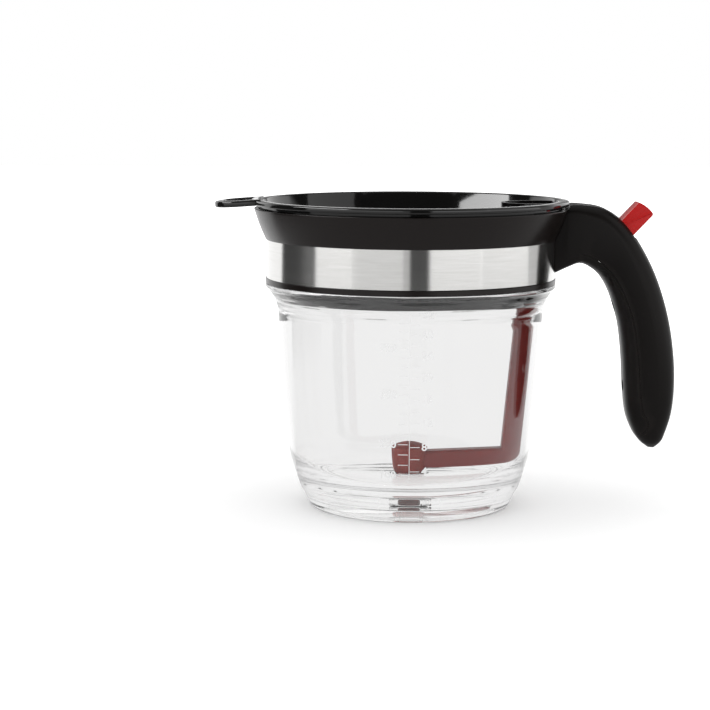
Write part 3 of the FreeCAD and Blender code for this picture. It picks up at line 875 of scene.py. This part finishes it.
def buildCollar():
    s = collarShape
    foot = (jug["collarFoot"], jug["bandTop"])
    top = (jug["collarRadius"], jug["collarTop"])
    line = [(s["skirtInner"], s["skirtFoot"]), (s["skirtOuter"], s["skirtFoot"], s["edge"])]
    line += [(s["skirtOuter"], jug["bandTop"]), (*foot, s["footEdge"])]
    line += arc(foot, top, s["flareBulge"], 12)[:-1]
    line += [(*top, s["fineEdge"]), (s["lipInner"], top[1], s["edge"])]
    line += [(s["lipInner"], s["ledgeHeight"]), (s["ledgeInner"], s["ledgeHeight"], s["ledgeEdge"])]
    line += [(s["skirtInner"], jug["bandTop"] + s["coneStart"], s["coneRounding"])]
    collar = turned("collar", softened(line))
    slot = box(jug["stemX"], s["slotReach"], *s["slotHeights"])
    cut(collar, upright("leverSlot", slot, s["slotHalfWidth"]))
    return finish(collar, collarBlack, "jug", ["collar"])


buildCollar()


# strainer: bowl, hood over the arm guide, lifting tab and holes
strainerShape = {
    "floor": 104.0,
    "wall": 2.0,
    "funnelTop": 71.9,
    "funnelFoot": 56.0,
    "body": 74.3,
    "rimWidth": 5.5,
    "rimEdges": (0.7, 0.8, 0.7),  # under, outside and inside
    "bodyEdge": 0.3,
    "footRounding": 1.2,
    "floorRounding": 3.0,
    "hoodLeft": 44.3,
    "hoodHalfWidth": 14.5,
    "hoodReach": 90.0,  # past the bowl's side, which ends the hood
    "hoodWall": 1.8,
    "hoodTop": 150.2,
    "recessFloor": 148.0,
    "roofUnder": 146.4,
    "tabRoot": 68.0,
    "tabReach": 18.7,
    "tabHalfWidth": 16.0,
    "tabCorner": 13.0,
    "tabBorder": 4.8,
    "tabThickness": 3.0,
    "tabRise": 0.4,
    "tabDroop": 4.0,  # degrees
    "tabRounding": 0.9,
    "tabHoleGap": 0.8,  # between the rim and the tab's hole
    "holeRadius": 1.75,
    "holePitch": 7.5,
    "holeRings": 6,
    "toolLow": 90.0,  # heights that clear the whole strainer
    "toolHigh": 200.0,
}


def bowlRoom(inset):
    # the room inside the bowl, open upwards, with its side moved in
    s = strainerShape
    high = 300.0  # past every piece
    mouth = jug["rimRadius"] - s["rimWidth"]
    line = [(0.0, s["floor"]), (s["funnelFoot"] - inset, s["floor"])]
    line += [(s["funnelTop"] - inset, jug["seatHeight"])]
    line += [(mouth, jug["rimTop"]), (mouth, high), (0.0, high)]
    return turned("bowlRoom", line)


def hoodPlan(inset, steps=28):
    s = strainerShape
    half = s["hoodHalfWidth"] - inset
    centre = s["hoodLeft"] + s["hoodHalfWidth"]
    angles = [math.pi / 2 + math.pi * k / steps for k in range(steps + 1)]
    plan = [(centre + half * math.cos(a), half * math.sin(a)) for a in angles]
    return plan + [(s["hoodReach"], -half), (s["hoodReach"], half)]


def buildTab():
    s = strainerShape
    end = -jug["rimRadius"] - s["tabReach"]
    top = jug["rimTop"] + s["tabRise"]
    low = top - s["tabThickness"]
    inner = s["tabHalfWidth"] - s["tabBorder"]
    innerEnd = end + s["tabBorder"]
    innerCorner = s["tabCorner"] - s["tabBorder"]
    root = -s["tabRoot"]
    outline = [(root, -s["tabHalfWidth"]), (root, s["tabHalfWidth"])]
    outline += [(end, s["tabHalfWidth"], s["tabCorner"]), (end, -s["tabHalfWidth"], s["tabCorner"])]
    hole = [(root, -inner), (root, inner)]
    hole += [(innerEnd, inner, innerCorner), (innerEnd, -inner, innerCorner)]
    tab = level("tab", softened(outline, 12), low, top)
    opening = level("tabHole", softened(hole, 12), low - 1, top + 1)
    cut(opening, plug("rimRoom", jug["rimRadius"] + s["tabHoleGap"], low - 2, top + 2))
    cut(tab, opening)
    roundEdges(tab, s["tabRounding"], 4, 40)
    pivot = Matrix.Translation((-jug["rimRadius"] * mm, 0, top * mm))
    tab.data.transform(pivot @ Matrix.Rotation(math.radians(-s["tabDroop"]), 4, "Y") @ pivot.inverted())
    inside = jug["rimRadius"] - s["rimWidth"] / 2
    return cut(tab, plug("bowlSide", inside, s["toolLow"], s["toolHigh"]))


def buildHood():
    s = strainerShape
    hood = level("hood", hoodPlan(0.0), s["floor"], s["hoodTop"])
    shared(hood, bowlRoom(s["wall"] / 2))
    return hood


def holeSpots():
    s = strainerShape
    spots = [(0.0, 0.0)]
    for ring in range(1, s["holeRings"] + 1):
        distance = ring * s["holePitch"]
        for k in range(6 * ring):
            angle = math.pi * k / (3 * ring)
            spots.append((distance * math.cos(angle), distance * math.sin(angle)))
    centre = s["hoodLeft"] + s["hoodHalfWidth"]
    clear = s["hoodHalfWidth"] + 2 * s["holeRadius"]
    return [p for p in spots if math.hypot(max(centre - p[0], 0), p[1]) > clear]


def buildStrainer():
    s = strainerShape
    rim = jug["rimRadius"]
    under, outside, inside = s["rimEdges"]
    floorTop = s["floor"] + s["wall"]
    line = [(0.0, s["floor"]), (s["funnelFoot"], s["floor"], s["footRounding"])]
    line += [(s["funnelTop"], jug["seatHeight"]), (s["body"], jug["seatHeight"])]
    line += [(s["body"], jug["rimFoot"], s["bodyEdge"]), (rim, jug["rimFoot"], under)]
    line += [(rim, jug["rimTop"], outside), (rim - s["rimWidth"], jug["rimTop"], inside)]
    line += [(s["funnelTop"] - s["wall"], jug["seatHeight"])]
    line += [(s["funnelFoot"] - s["wall"], floorTop, s["floorRounding"]), (0.0, floorTop)]
    strainer = turned("strainer", softened(line))
    join(strainer, buildHood(), buildTab())
    recess = level("recess", hoodPlan(s["hoodWall"]), s["recessFloor"], s["toolHigh"])
    cut(strainer, shared(recess, bowlRoom(s["wall"])))
    passage = level("passage", hoodPlan(s["hoodWall"]), s["floor"] - 1, s["roofUnder"])
    high = 160.0  # past the passage's roof
    shared(passage, plug("reach", s["body"] - s["wall"] / 2, s["toolLow"], high))
    cut(strainer, passage)
    drills = bmesh.new()
    for x, y in holeSpots():
        bmesh.ops.create_cone(
            drills,
            cap_ends=True,
            segments=24,
            radius1=s["holeRadius"] * mm,
            radius2=s["holeRadius"] * mm,
            depth=3 * s["wall"] * mm,
            matrix=Matrix.Translation(Vector((x, y, s["floor"] + s["wall"] / 2)) * mm),
        )
    cut(strainer, keep("drills", drills))
    return finish(strainer, glossBlack, "lid", ["strainer"], 32)


buildStrainer()


# handle: outer shell, and the inner shell that is screwed on as its cover
handleShape = {
    # a point on the outer line and one on the inner line, out from the collar's edge and down
    # from it, then the half width and the corner
    "stations": [
        ((-8.0, 1.9), (-8.0, 31.7), 14.0, 4.0),
        ((-1.0, -1.7), (-1.0, 28.4), 14.0, 4.0),
        ((7.0, -2.0), (5.5, 26.3), 13.8, 5.0),
        ((18.0, 0.0), (11.5, 29.0), 13.4, 7.0),
        ((28.5, 7.8), (16.5, 33.4), 13.0, 8.5),
        ((37.9, 21.4), (20.5, 40.3), 12.8, 9.0),
        ((44.8, 36.0), (23.3, 48.1), 12.6, 9.2),
        ((50.1, 53.3), (25.9, 57.8), 12.6, 9.4),
        ((53.1, 71.3), (27.8, 73.3), 12.6, 9.6),
        ((53.9, 87.3), (28.7, 87.8), 12.4, 9.6),
        ((52.7, 101.3), (30.3, 101.3), 11.6, 9.0),
        ((49.2, 113.0), (34.0, 110.8), 9.8, 7.2),
        ((47.4, 116.1), (37.5, 115.4), 7.6, 4.7),
        ((44.7, 118.6), (41.3, 118.4), 3.8, 1.5),
    ],
    "between": 6,  # sections added from one station to the next
    "cornerSteps": 8,
    "coverFirst": 2,
    "coverLast": 10,
    "coverNeckDepth": 4.5,
    "coverTipDepth": 7.7,
    "seam": 0.15,
    "screwStations": (6, 9),
    "screwHole": 2.9,
    "screwSink": 2.3,
    "screwMouth": 2.0,
    "rootRounding": 0.8,
    "bodyEdge": 0.35,
    "coverEdge": 0.25,
    "collarGap": 0.1,
    "rimGap": 0.3,
    "leverGap": 0.6,
}
leverShape = {
    "angle": 46.5,  # degrees
    "stroke": 12.0,
    "length": 23.5,
    "thickness": 9.2,
    "halfWidth": 7.2,
    "tipBulge": 0.7,
    "hub": 5.2,
    "rounding": 1.3,
    "armLow": 132.5,
    "armHigh": 137.1,
    "armHalfWidth": 4.6,
    "noseHeight": 132.1,
    "noseRadius": 2.3,
    "stemGap": 2.3,
    "forkReach": 9.0,
    "forkDepth": 5.0,
    "crankOffset": 6.6,
    "heelShare": 0.8,  # of the hub, where the paddle's lower side starts
    "heelEdge": 1.5,
    "tipEdges": (1.2, 1.0),  # low and high
    "pinHole": 1.55,
    "slotTop": 143.3,
    "bayTop": 140.7,
    "bayGap": 0.3,
    "bayReach": 1.4,  # over the paddle's length
    "bayHeel": (2.6, -1.0),  # along the paddle from its pin
}


def stationValues(index):
    outer, inner, half, corner = handleShape["stations"][index]
    x = jug["collarRadius"]
    z = jug["collarTop"]
    return [x + outer[0], z - outer[1], x + inner[0], z - inner[1], half, corner]


def stationsBetween(first, last):
    # smooth sections from one station to another, by a curve that passes through every station
    count = len(handleShape["stations"])
    rows = [stationValues(i) for i in range(count)]
    ways = [math.dist(a[:4], b[:4]) for a, b in zip(rows, rows[1:])]
    slopes = []
    for i in range(count):
        low = max(i - 1, 0)
        high = min(i + 1, count - 1)
        slopes.append([(b - a) / sum(ways[low:high]) for a, b in zip(rows[low], rows[high])])
    sections = []
    for i in range(first, last):
        for k in range(handleShape["between"]):
            t = k / handleShape["between"]
            starts = (2 * t ** 3 - 3 * t ** 2 + 1, (t ** 3 - 2 * t ** 2 + t) * ways[i])
            ends = (3 * t ** 2 - 2 * t ** 3, (t ** 3 - t ** 2) * ways[i])
            section = []
            for a, slopeA, b, slopeB in zip(rows[i], slopes[i], rows[i + 1], slopes[i + 1]):
                section.append(a * starts[0] + slopeA * starts[1] + b * ends[0] + slopeB * ends[1])
            sections.append(section)
    sections.append(rows[last])
    return sections


def sectionRing(section):
    outerX, outerZ, innerX, innerZ, half, corner = section
    across = Vector((outerX - innerX, 0, outerZ - innerZ))
    middle = Vector((outerX + innerX, 0, outerZ + innerZ)) / 2
    reach = across.length / 2
    across.normalize()
    corner = min(corner, reach - 0.05, half - 0.05)
    rectangle = [(reach, half), (-reach, half), (-reach, -half), (reach, -half)]
    line = softened([(u, v, corner) for u, v in rectangle], handleShape["cornerSteps"])
    return [middle + across * u + Vector((0, v, 0)) for u, v in line]


def inwards(section, depth):
    # a point under the handle's inner line
    outerX, outerZ, innerX, innerZ = section[:4]
    way = Vector((outerX - innerX, outerZ - innerZ)).normalized()
    return Vector((innerX, innerZ)) + way * depth


def bulgeThrough(start, middle, end):
    way = Vector(end) - Vector(start)
    side = Vector((way.y, -way.x)).normalized()
    return (Vector(middle) - (Vector(start) + Vector(end)) / 2).dot(side)


def coverOutline(extra):
    s = handleShape
    sections = stationsBetween(s["coverFirst"], s["coverLast"])
    growth = (s["coverTipDepth"] - s["coverNeckDepth"]) / (len(sections) - 1)
    start = s["coverNeckDepth"] + extra
    deep = [tuple(inwards(row, start + growth * k)) for k, row in enumerate(sections)]
    beyond = stationValues(s["coverLast"] + 1)
    turn = inwards(beyond, s["coverTipDepth"] / 2 + extra)
    landing = inwards(beyond, -s["coverTipDepth"] / 2)
    line = deep + arc(deep[-1], landing, bulgeThrough(deep[-1], turn, landing), 12)
    return line + [tuple(inwards(row, -s["coverTipDepth"])) for row in reversed(sections)]


def collarRoom():
    s = handleShape
    band = jug["bandRadius"] + s["collarGap"]
    foot = (jug["collarFoot"] + s["collarGap"], jug["bandTop"])
    top = (jug["collarRadius"] + s["collarGap"], jug["collarTop"])
    rim = jug["rimRadius"] + s["rimGap"]
    low = 8.6  # under the handle's tip
    high = 300.0  # past every piece
    line = [(0.0, low), (band, low), (band, jug["bandTop"]), foot]
    line += arc(foot, top, collarShape["flareBulge"], 12)
    line += [(rim, jug["collarTop"]), (rim, high), (0.0, high)]
    return turned("collarRoom", line, 360)


def leverPoint(along, across, turn=0.0):
    # along the paddle from its pin, and across it to its lower side
    angle = math.radians(leverShape["angle"] - turn)
    x = jug["pivotX"] + along * math.cos(angle) + across * math.sin(angle)
    z = jug["pivotZ"] + along * math.sin(angle) - across * math.cos(angle)
    return x, z


def crossRod(radius, halfLength):
    start = (jug["pivotX"], -halfLength, jug["pivotZ"])
    return rodTool(start, (jug["pivotX"], halfLength, jug["pivotZ"]), radius, 64)


def leverBay():
    s = leverShape
    gap = handleShape["leverGap"]
    far = s["bayReach"] * s["length"]
    half = s["halfWidth"] + s["bayGap"]
    heelFront, heelBack = s["bayHeel"]
    under = s["thickness"] + gap
    sweep = [leverPoint(-s["hub"], -gap), leverPoint(far, -gap)]
    sweep += [leverPoint(far, under, s["stroke"]), leverPoint(heelFront, under, s["stroke"])]
    sweep += [leverPoint(heelBack, s["hub"] + gap, s["stroke"])]
    low = s["armLow"] - s["bayGap"]
    neck = [(jug["stemX"], low), (jug["pivotX"], low)]
    neck += [(jug["pivotX"], s["bayTop"]), (jug["stemX"], s["slotTop"])]
    bay = upright("bay", sweep, half)
    passage = upright("neck", neck, collarShape["slotHalfWidth"])
    return [bay, passage, crossRod(s["hub"] + gap, half)]


def buildHandle():
    s = handleShape
    sections = stationsBetween(0, len(s["stations"]) - 1)
    whole = lofted("handle_body", [sectionRing(row) for row in sections])
    cut(whole, collarRoom())
    roundEdges(whole, s["rootRounding"], 3, 42)
    cover = copyOf(whole)
    cover.name = "handle_cover"
    half = 16.0  # past both sides of the handle
    cut(whole, upright("coverZone", coverOutline(s["seam"]), half))
    shared(cover, upright("coverZone", coverOutline(0.0), half))
    cut(whole, *leverBay())
    for index in s["screwStations"]:
        section = stationValues(index)
        mouth = inwards(section, -s["screwMouth"])
        seat = inwards(section, s["screwSink"])
        cut(cover, rodTool((mouth.x, 0, mouth.y), (seat.x, 0, seat.y), s["screwHole"]))
    roundEdges(whole, s["bodyEdge"], 2, 42)
    roundEdges(cover, s["coverEdge"], 2, 42)
    finish(whole, gripBlack, "jug", ["handle_body"])
    finish(cover, gripBlack, "jug", ["handle_cover"])


buildHandle()


# thumb lever: paddle, hub and the fork that lifts the arm
def buildLever():
    s = leverShape
    turns = [math.radians(10 * k) for k in range(28)]
    outline = [leverPoint(s["hub"] * math.cos(a), -s["hub"] * math.sin(a)) for a in turns]
    lowEdge, highEdge = s["tipEdges"]
    tipLow = leverPoint(s["length"] - s["tipBulge"], s["thickness"])
    tipHigh = leverPoint(s["length"] - 2 * s["tipBulge"], 0)
    outline += [(*leverPoint(s["hub"] * s["heelShare"], s["thickness"]), s["heelEdge"])]
    outline += [(*tipLow, lowEdge)]
    outline += arc(tipLow, tipHigh, s["tipBulge"], 10)[:-1]
    outline += [(*tipHigh, highEdge)]
    lever = upright("thumb_lever", softened(outline), s["halfWidth"])
    roundEdges(lever, s["rounding"], 5, 30)
    stem = jug["stemX"]
    crank = stem + s["crankOffset"]
    nose = s["noseHeight"]
    noseTop = (stem, nose + s["noseRadius"])
    noseFoot = (stem, nose - s["noseRadius"])
    arm = [(jug["pivotX"], s["armLow"]), (jug["pivotX"], s["armHigh"]), (crank + 1, s["armHigh"])]
    arm += [(crank, noseTop[1]), noseTop]
    arm += arc(noseTop, noseFoot, -s["noseRadius"] * 0.999, 10)
    arm += [(crank - 1, noseFoot[1]), (crank + 2, s["armLow"])]
    fork = upright("fork", arm, s["armHalfWidth"])
    low = nose - s["forkDepth"]
    high = nose + s["forkDepth"]
    cut(fork, upright("forkSlot", box(stem - s["forkReach"], stem, low, high), s["stemGap"]))
    cut(fork, rodTool((stem, 0, low), (stem, 0, high), s["stemGap"]))
    join(lever, fork)
    cut(lever, crossRod(s["pinHole"], s["halfWidth"] + 1))
    return finish(lever, leverRed, "lever", ["thumb_lever"])


buildLever()
print("pieces built")


# camera
cameraPlace = {
    "place": (-0.02724, -0.980, 0.20786),
    "down": 7.77,  # degrees
    "roll": 0.156,
    "lens": 101.06,
    "sensor": 36.0,
}


def buildCamera():
    s = cameraPlace
    camera = bpy.data.objects.new("camera", bpy.data.cameras.new("camera"))
    scene.collection.objects.link(camera)
    camera.data.lens = s["lens"]
    camera.data.sensor_width = s["sensor"]
    camera.data.clip_start = 0.05
    camera.data.clip_end = 50.0
    tilt = Euler((math.radians(90 - s["down"]), 0, 0)).to_matrix()
    roll = Euler((0, 0, math.radians(s["roll"]))).to_matrix()
    camera.location = s["place"]
    camera.rotation_euler = (tilt @ roll).to_euler()
    scene.camera = camera


buildCamera()


# studio: floor, world and soft panels
studio = {
    "floorSize": 8.0,
    "floorColour": 0.80,
    "glowNear": 0.22,  # the floor's own glow for the camera, near the jug and far from it
    "glowFar": 1.0,
    "glowStart": 0.30,
    "glowEnd": 0.90,
    "whiteThrough": 0.90,  # floor and surround, seen through the clear jar
    "diffuseSky": 1.0,
    # what gloss sees: overhead, the floor near the jug, far in front and behind, and the dark gaps
    "ceiling": 0.035,
    "nearFloor": 0.60,
    "farFront": 0.72,
    "behind": 1.28,
    "backHigh": 0.22,
    "gapShade": 0.05,
    "frontGap": (-2.0, 12.0),  # degrees from the front towards the handle
    "leftGap": (-121.0, -79.5),
    "backStart": 121.0,
    "floorReach": (0.30, 0.55),  # where the near floor passes into the far one
    "wallTop": (0.12, 0.42),  # height of the surround as a direction, in front and behind
    # azimuth from the front towards the handle and width, in degrees, then distance, low, high, brightness
    "panels": {
        "leftTall": (-63.5, 32.0, 1.6, 0.0, 0.62, 0.78),
        "rightTall": (78.0, 48.0, 1.6, 0.0, 1.9, 1.0),
        "leftUpper": (-74.0, 50.0, 1.6, 0.75, 1.5, 11.0),
        "leftLow": (-27.5, 41.0, 1.5, 0.0, 0.55, 0.62),
        "rightLow": (34.0, 41.0, 1.5, 0.0, 0.55, 1.10),
    },
    "top": (2.1, 1.5, 0.62),  # side, height, brightness
}


def azimuthOf(tree, x, y):
    # radians from the front towards the handle
    return worked(tree, "ARCTAN2", x, worked(tree, "MULTIPLY", y, -1.0))


def inGap(tree, azimuth, gap, soft=0.6):
    # 1 between two azimuths, 0 elsewhere
    rise = mapped(tree, azimuth, math.radians(gap[0] - soft), math.radians(gap[0] + soft), 0.0, 1.0)
    fall = mapped(tree, azimuth, math.radians(gap[1] - soft), math.radians(gap[1] + soft), 1.0, 0.0)
    return worked(tree, "MULTIPLY", rise, fall)


def surround(tree, azimuth):
    # what gloss sees at the height of the jug: pale in front, brighter behind, dark in two gaps
    start = math.radians(studio["backStart"])
    aside = worked(tree, "ABSOLUTE", azimuth)
    pale = mapped(tree, aside, start - 0.05, start + 0.05, studio["farFront"], studio["behind"])
    pale = mixValue(tree, inGap(tree, azimuth, studio["leftGap"]), pale, studio["gapShade"])
    return mixValue(tree, inGap(tree, azimuth, studio["frontGap"]), pale, studio["gapShade"])


def buildWorld():
    world = bpy.data.worlds.new("studio")
    scene.world = world
    world.use_nodes = True
    tree = world.node_tree
    tree.nodes.clear()
    place = addNode(tree, "ShaderNodeTexCoord")
    axes = addNode(tree, "ShaderNodeSeparateXYZ", {0: place.outputs["Generated"]})
    # gloss sees the pale surround higher up behind than in front, and a dark ceiling over it
    edge = mapped(tree, axes.outputs["Y"], -0.4, 0.7, *studio["wallTop"])
    above = worked(tree, "SUBTRACT", axes.outputs["Z"], edge)
    around = surround(tree, azimuthOf(tree, axes.outputs["X"], axes.outputs["Y"]))
    overhead = mapped(tree, above, -0.05, 0.05, 0.0, 1.0)
    back = mapped(tree, axes.outputs["Y"], 0.93, 0.97, 0.0, 1.0)
    risen = mapped(tree, axes.outputs["Z"], 0.03, 0.06, 0.0, 1.0)
    around = mixValue(tree, worked(tree, "MULTIPLY", back, risen), around, studio["backHigh"])
    gloss = mixValue(tree, overhead, around, studio["ceiling"])
    path = addNode(tree, "ShaderNodeLightPath")
    sky = mixValue(tree, path.outputs["Is Glossy Ray"], studio["diffuseSky"], gloss)
    sky = mixValue(tree, path.outputs["Is Transmission Ray"], sky, studio["whiteThrough"])
    sky = mixValue(tree, path.outputs["Is Camera Ray"], sky, 1.0)
    light = addNode(tree, "ShaderNodeBackground", {"Color": (1.0, 1.0, 1.0, 1.0), "Strength": sky})
    out = addNode(tree, "ShaderNodeOutputWorld")
    tree.links.new(light.outputs[0], out.inputs["Surface"])


def buildFloor():
    shape = bmesh.new()
    bmesh.ops.create_grid(shape, x_segments=8, y_segments=8, size=studio["floorSize"] / 2)
    floor = keep("floor", shape)
    material = bpy.data.materials.new("paleFloor")
    material.use_nodes = True
    tree = material.node_tree
    tree.nodes.clear()
    place = addNode(tree, "ShaderNodeNewGeometry")
    axes = addNode(tree, "ShaderNodeSeparateXYZ", {0: place.outputs["Position"]})
    away = addNode(tree, "ShaderNodeVectorMath", {0: place.outputs["Position"]}, operation="LENGTH")
    far = away.outputs["Value"]
    levels = (studio["glowNear"], studio["glowFar"])
    glow = mapped(tree, far, studio["glowStart"], studio["glowEnd"], *levels)
    path = addNode(tree, "ShaderNodeLightPath")
    shown = mixValue(tree, path.outputs["Is Camera Ray"], 0.0, glow)
    grey = studio["floorColour"]
    matt = addNode(tree, "ShaderNodeBsdfDiffuse", {"Color": (grey, grey, grey, 1.0)})
    lit = addNode(tree, "ShaderNodeEmission", {"Strength": shown})
    ground = addNode(tree, "ShaderNodeAddShader", {0: matt.outputs[0], 1: lit.outputs[0]})
    # gloss sees a darker floor close in front of the jug
    azimuth = azimuthOf(tree, axes.outputs["X"], axes.outputs["Y"])
    aside = worked(tree, "ABSOLUTE", azimuth)
    start = math.radians(studio["backStart"])
    near = mapped(tree, aside, start - 0.15, start + 0.15, studio["nearFloor"], studio["behind"])
    reach = mapped(tree, far, *studio["floorReach"], 0.0, 1.0)
    seen = mixValue(tree, reach, near, surround(tree, azimuth))
    mirrored = addNode(tree, "ShaderNodeEmission", {"Strength": seen})
    through = addNode(tree, "ShaderNodeEmission", {"Strength": studio["whiteThrough"]})
    # a ray that comes through the jar counts as glossy too, so transmission is looked at last
    direct = addNode(tree, "ShaderNodeMixShader", {
        0: path.outputs["Is Glossy Ray"],
        1: ground.outputs[0],
        2: mirrored.outputs[0],
    })
    mixed = addNode(tree, "ShaderNodeMixShader", {
        0: path.outputs["Is Transmission Ray"],
        1: direct.outputs[0],
        2: through.outputs[0],
    })
    out = addNode(tree, "ShaderNodeOutputMaterial")
    tree.links.new(mixed.outputs[0], out.inputs["Surface"])
    floor.data.materials.append(material)


def addLamp(name, width, tall, brightness, place):
    lamp = bpy.data.objects.new(name, bpy.data.lights.new(name, "AREA"))
    scene.collection.objects.link(lamp)
    lamp.data.shape = "RECTANGLE"
    lamp.data.size = width
    lamp.data.size_y = tall
    lamp.data.energy = brightness * math.pi * width * tall
    lamp.location = place
    target = Vector((0.0, 0.0, place[2] if place[0] or place[1] else 0.0))
    lamp.rotation_euler = (target - Vector(place)).to_track_quat("-Z", "Y").to_euler()
    lamp.visible_camera = False
    lamp.visible_transmission = False
    lamp.visible_diffuse = name == "top"  # the panels are there for gloss


def buildPanels():
    for name, (azimuth, wide, distance, low, high, brightness) in studio["panels"].items():
        turn = math.radians(azimuth)
        width = 2 * distance * math.tan(math.radians(wide) / 2)
        place = (distance * math.sin(turn), -distance * math.cos(turn), (low + high) / 2)
        addLamp(name, width, high - low, brightness, place)
    side, height, brightness = studio["top"]
    addLamp("top", side, side, brightness, (0.0, 0.0, height))


buildWorld()
buildFloor()
buildPanels()
scene.view_settings.view_transform = "Standard"
# light runs round inside the thick clear base many times before it leaves
scene.cycles.max_bounces = 32
scene.cycles.glossy_bounces = 32
scene.cycles.transmission_bounces = 32
print("studio built")
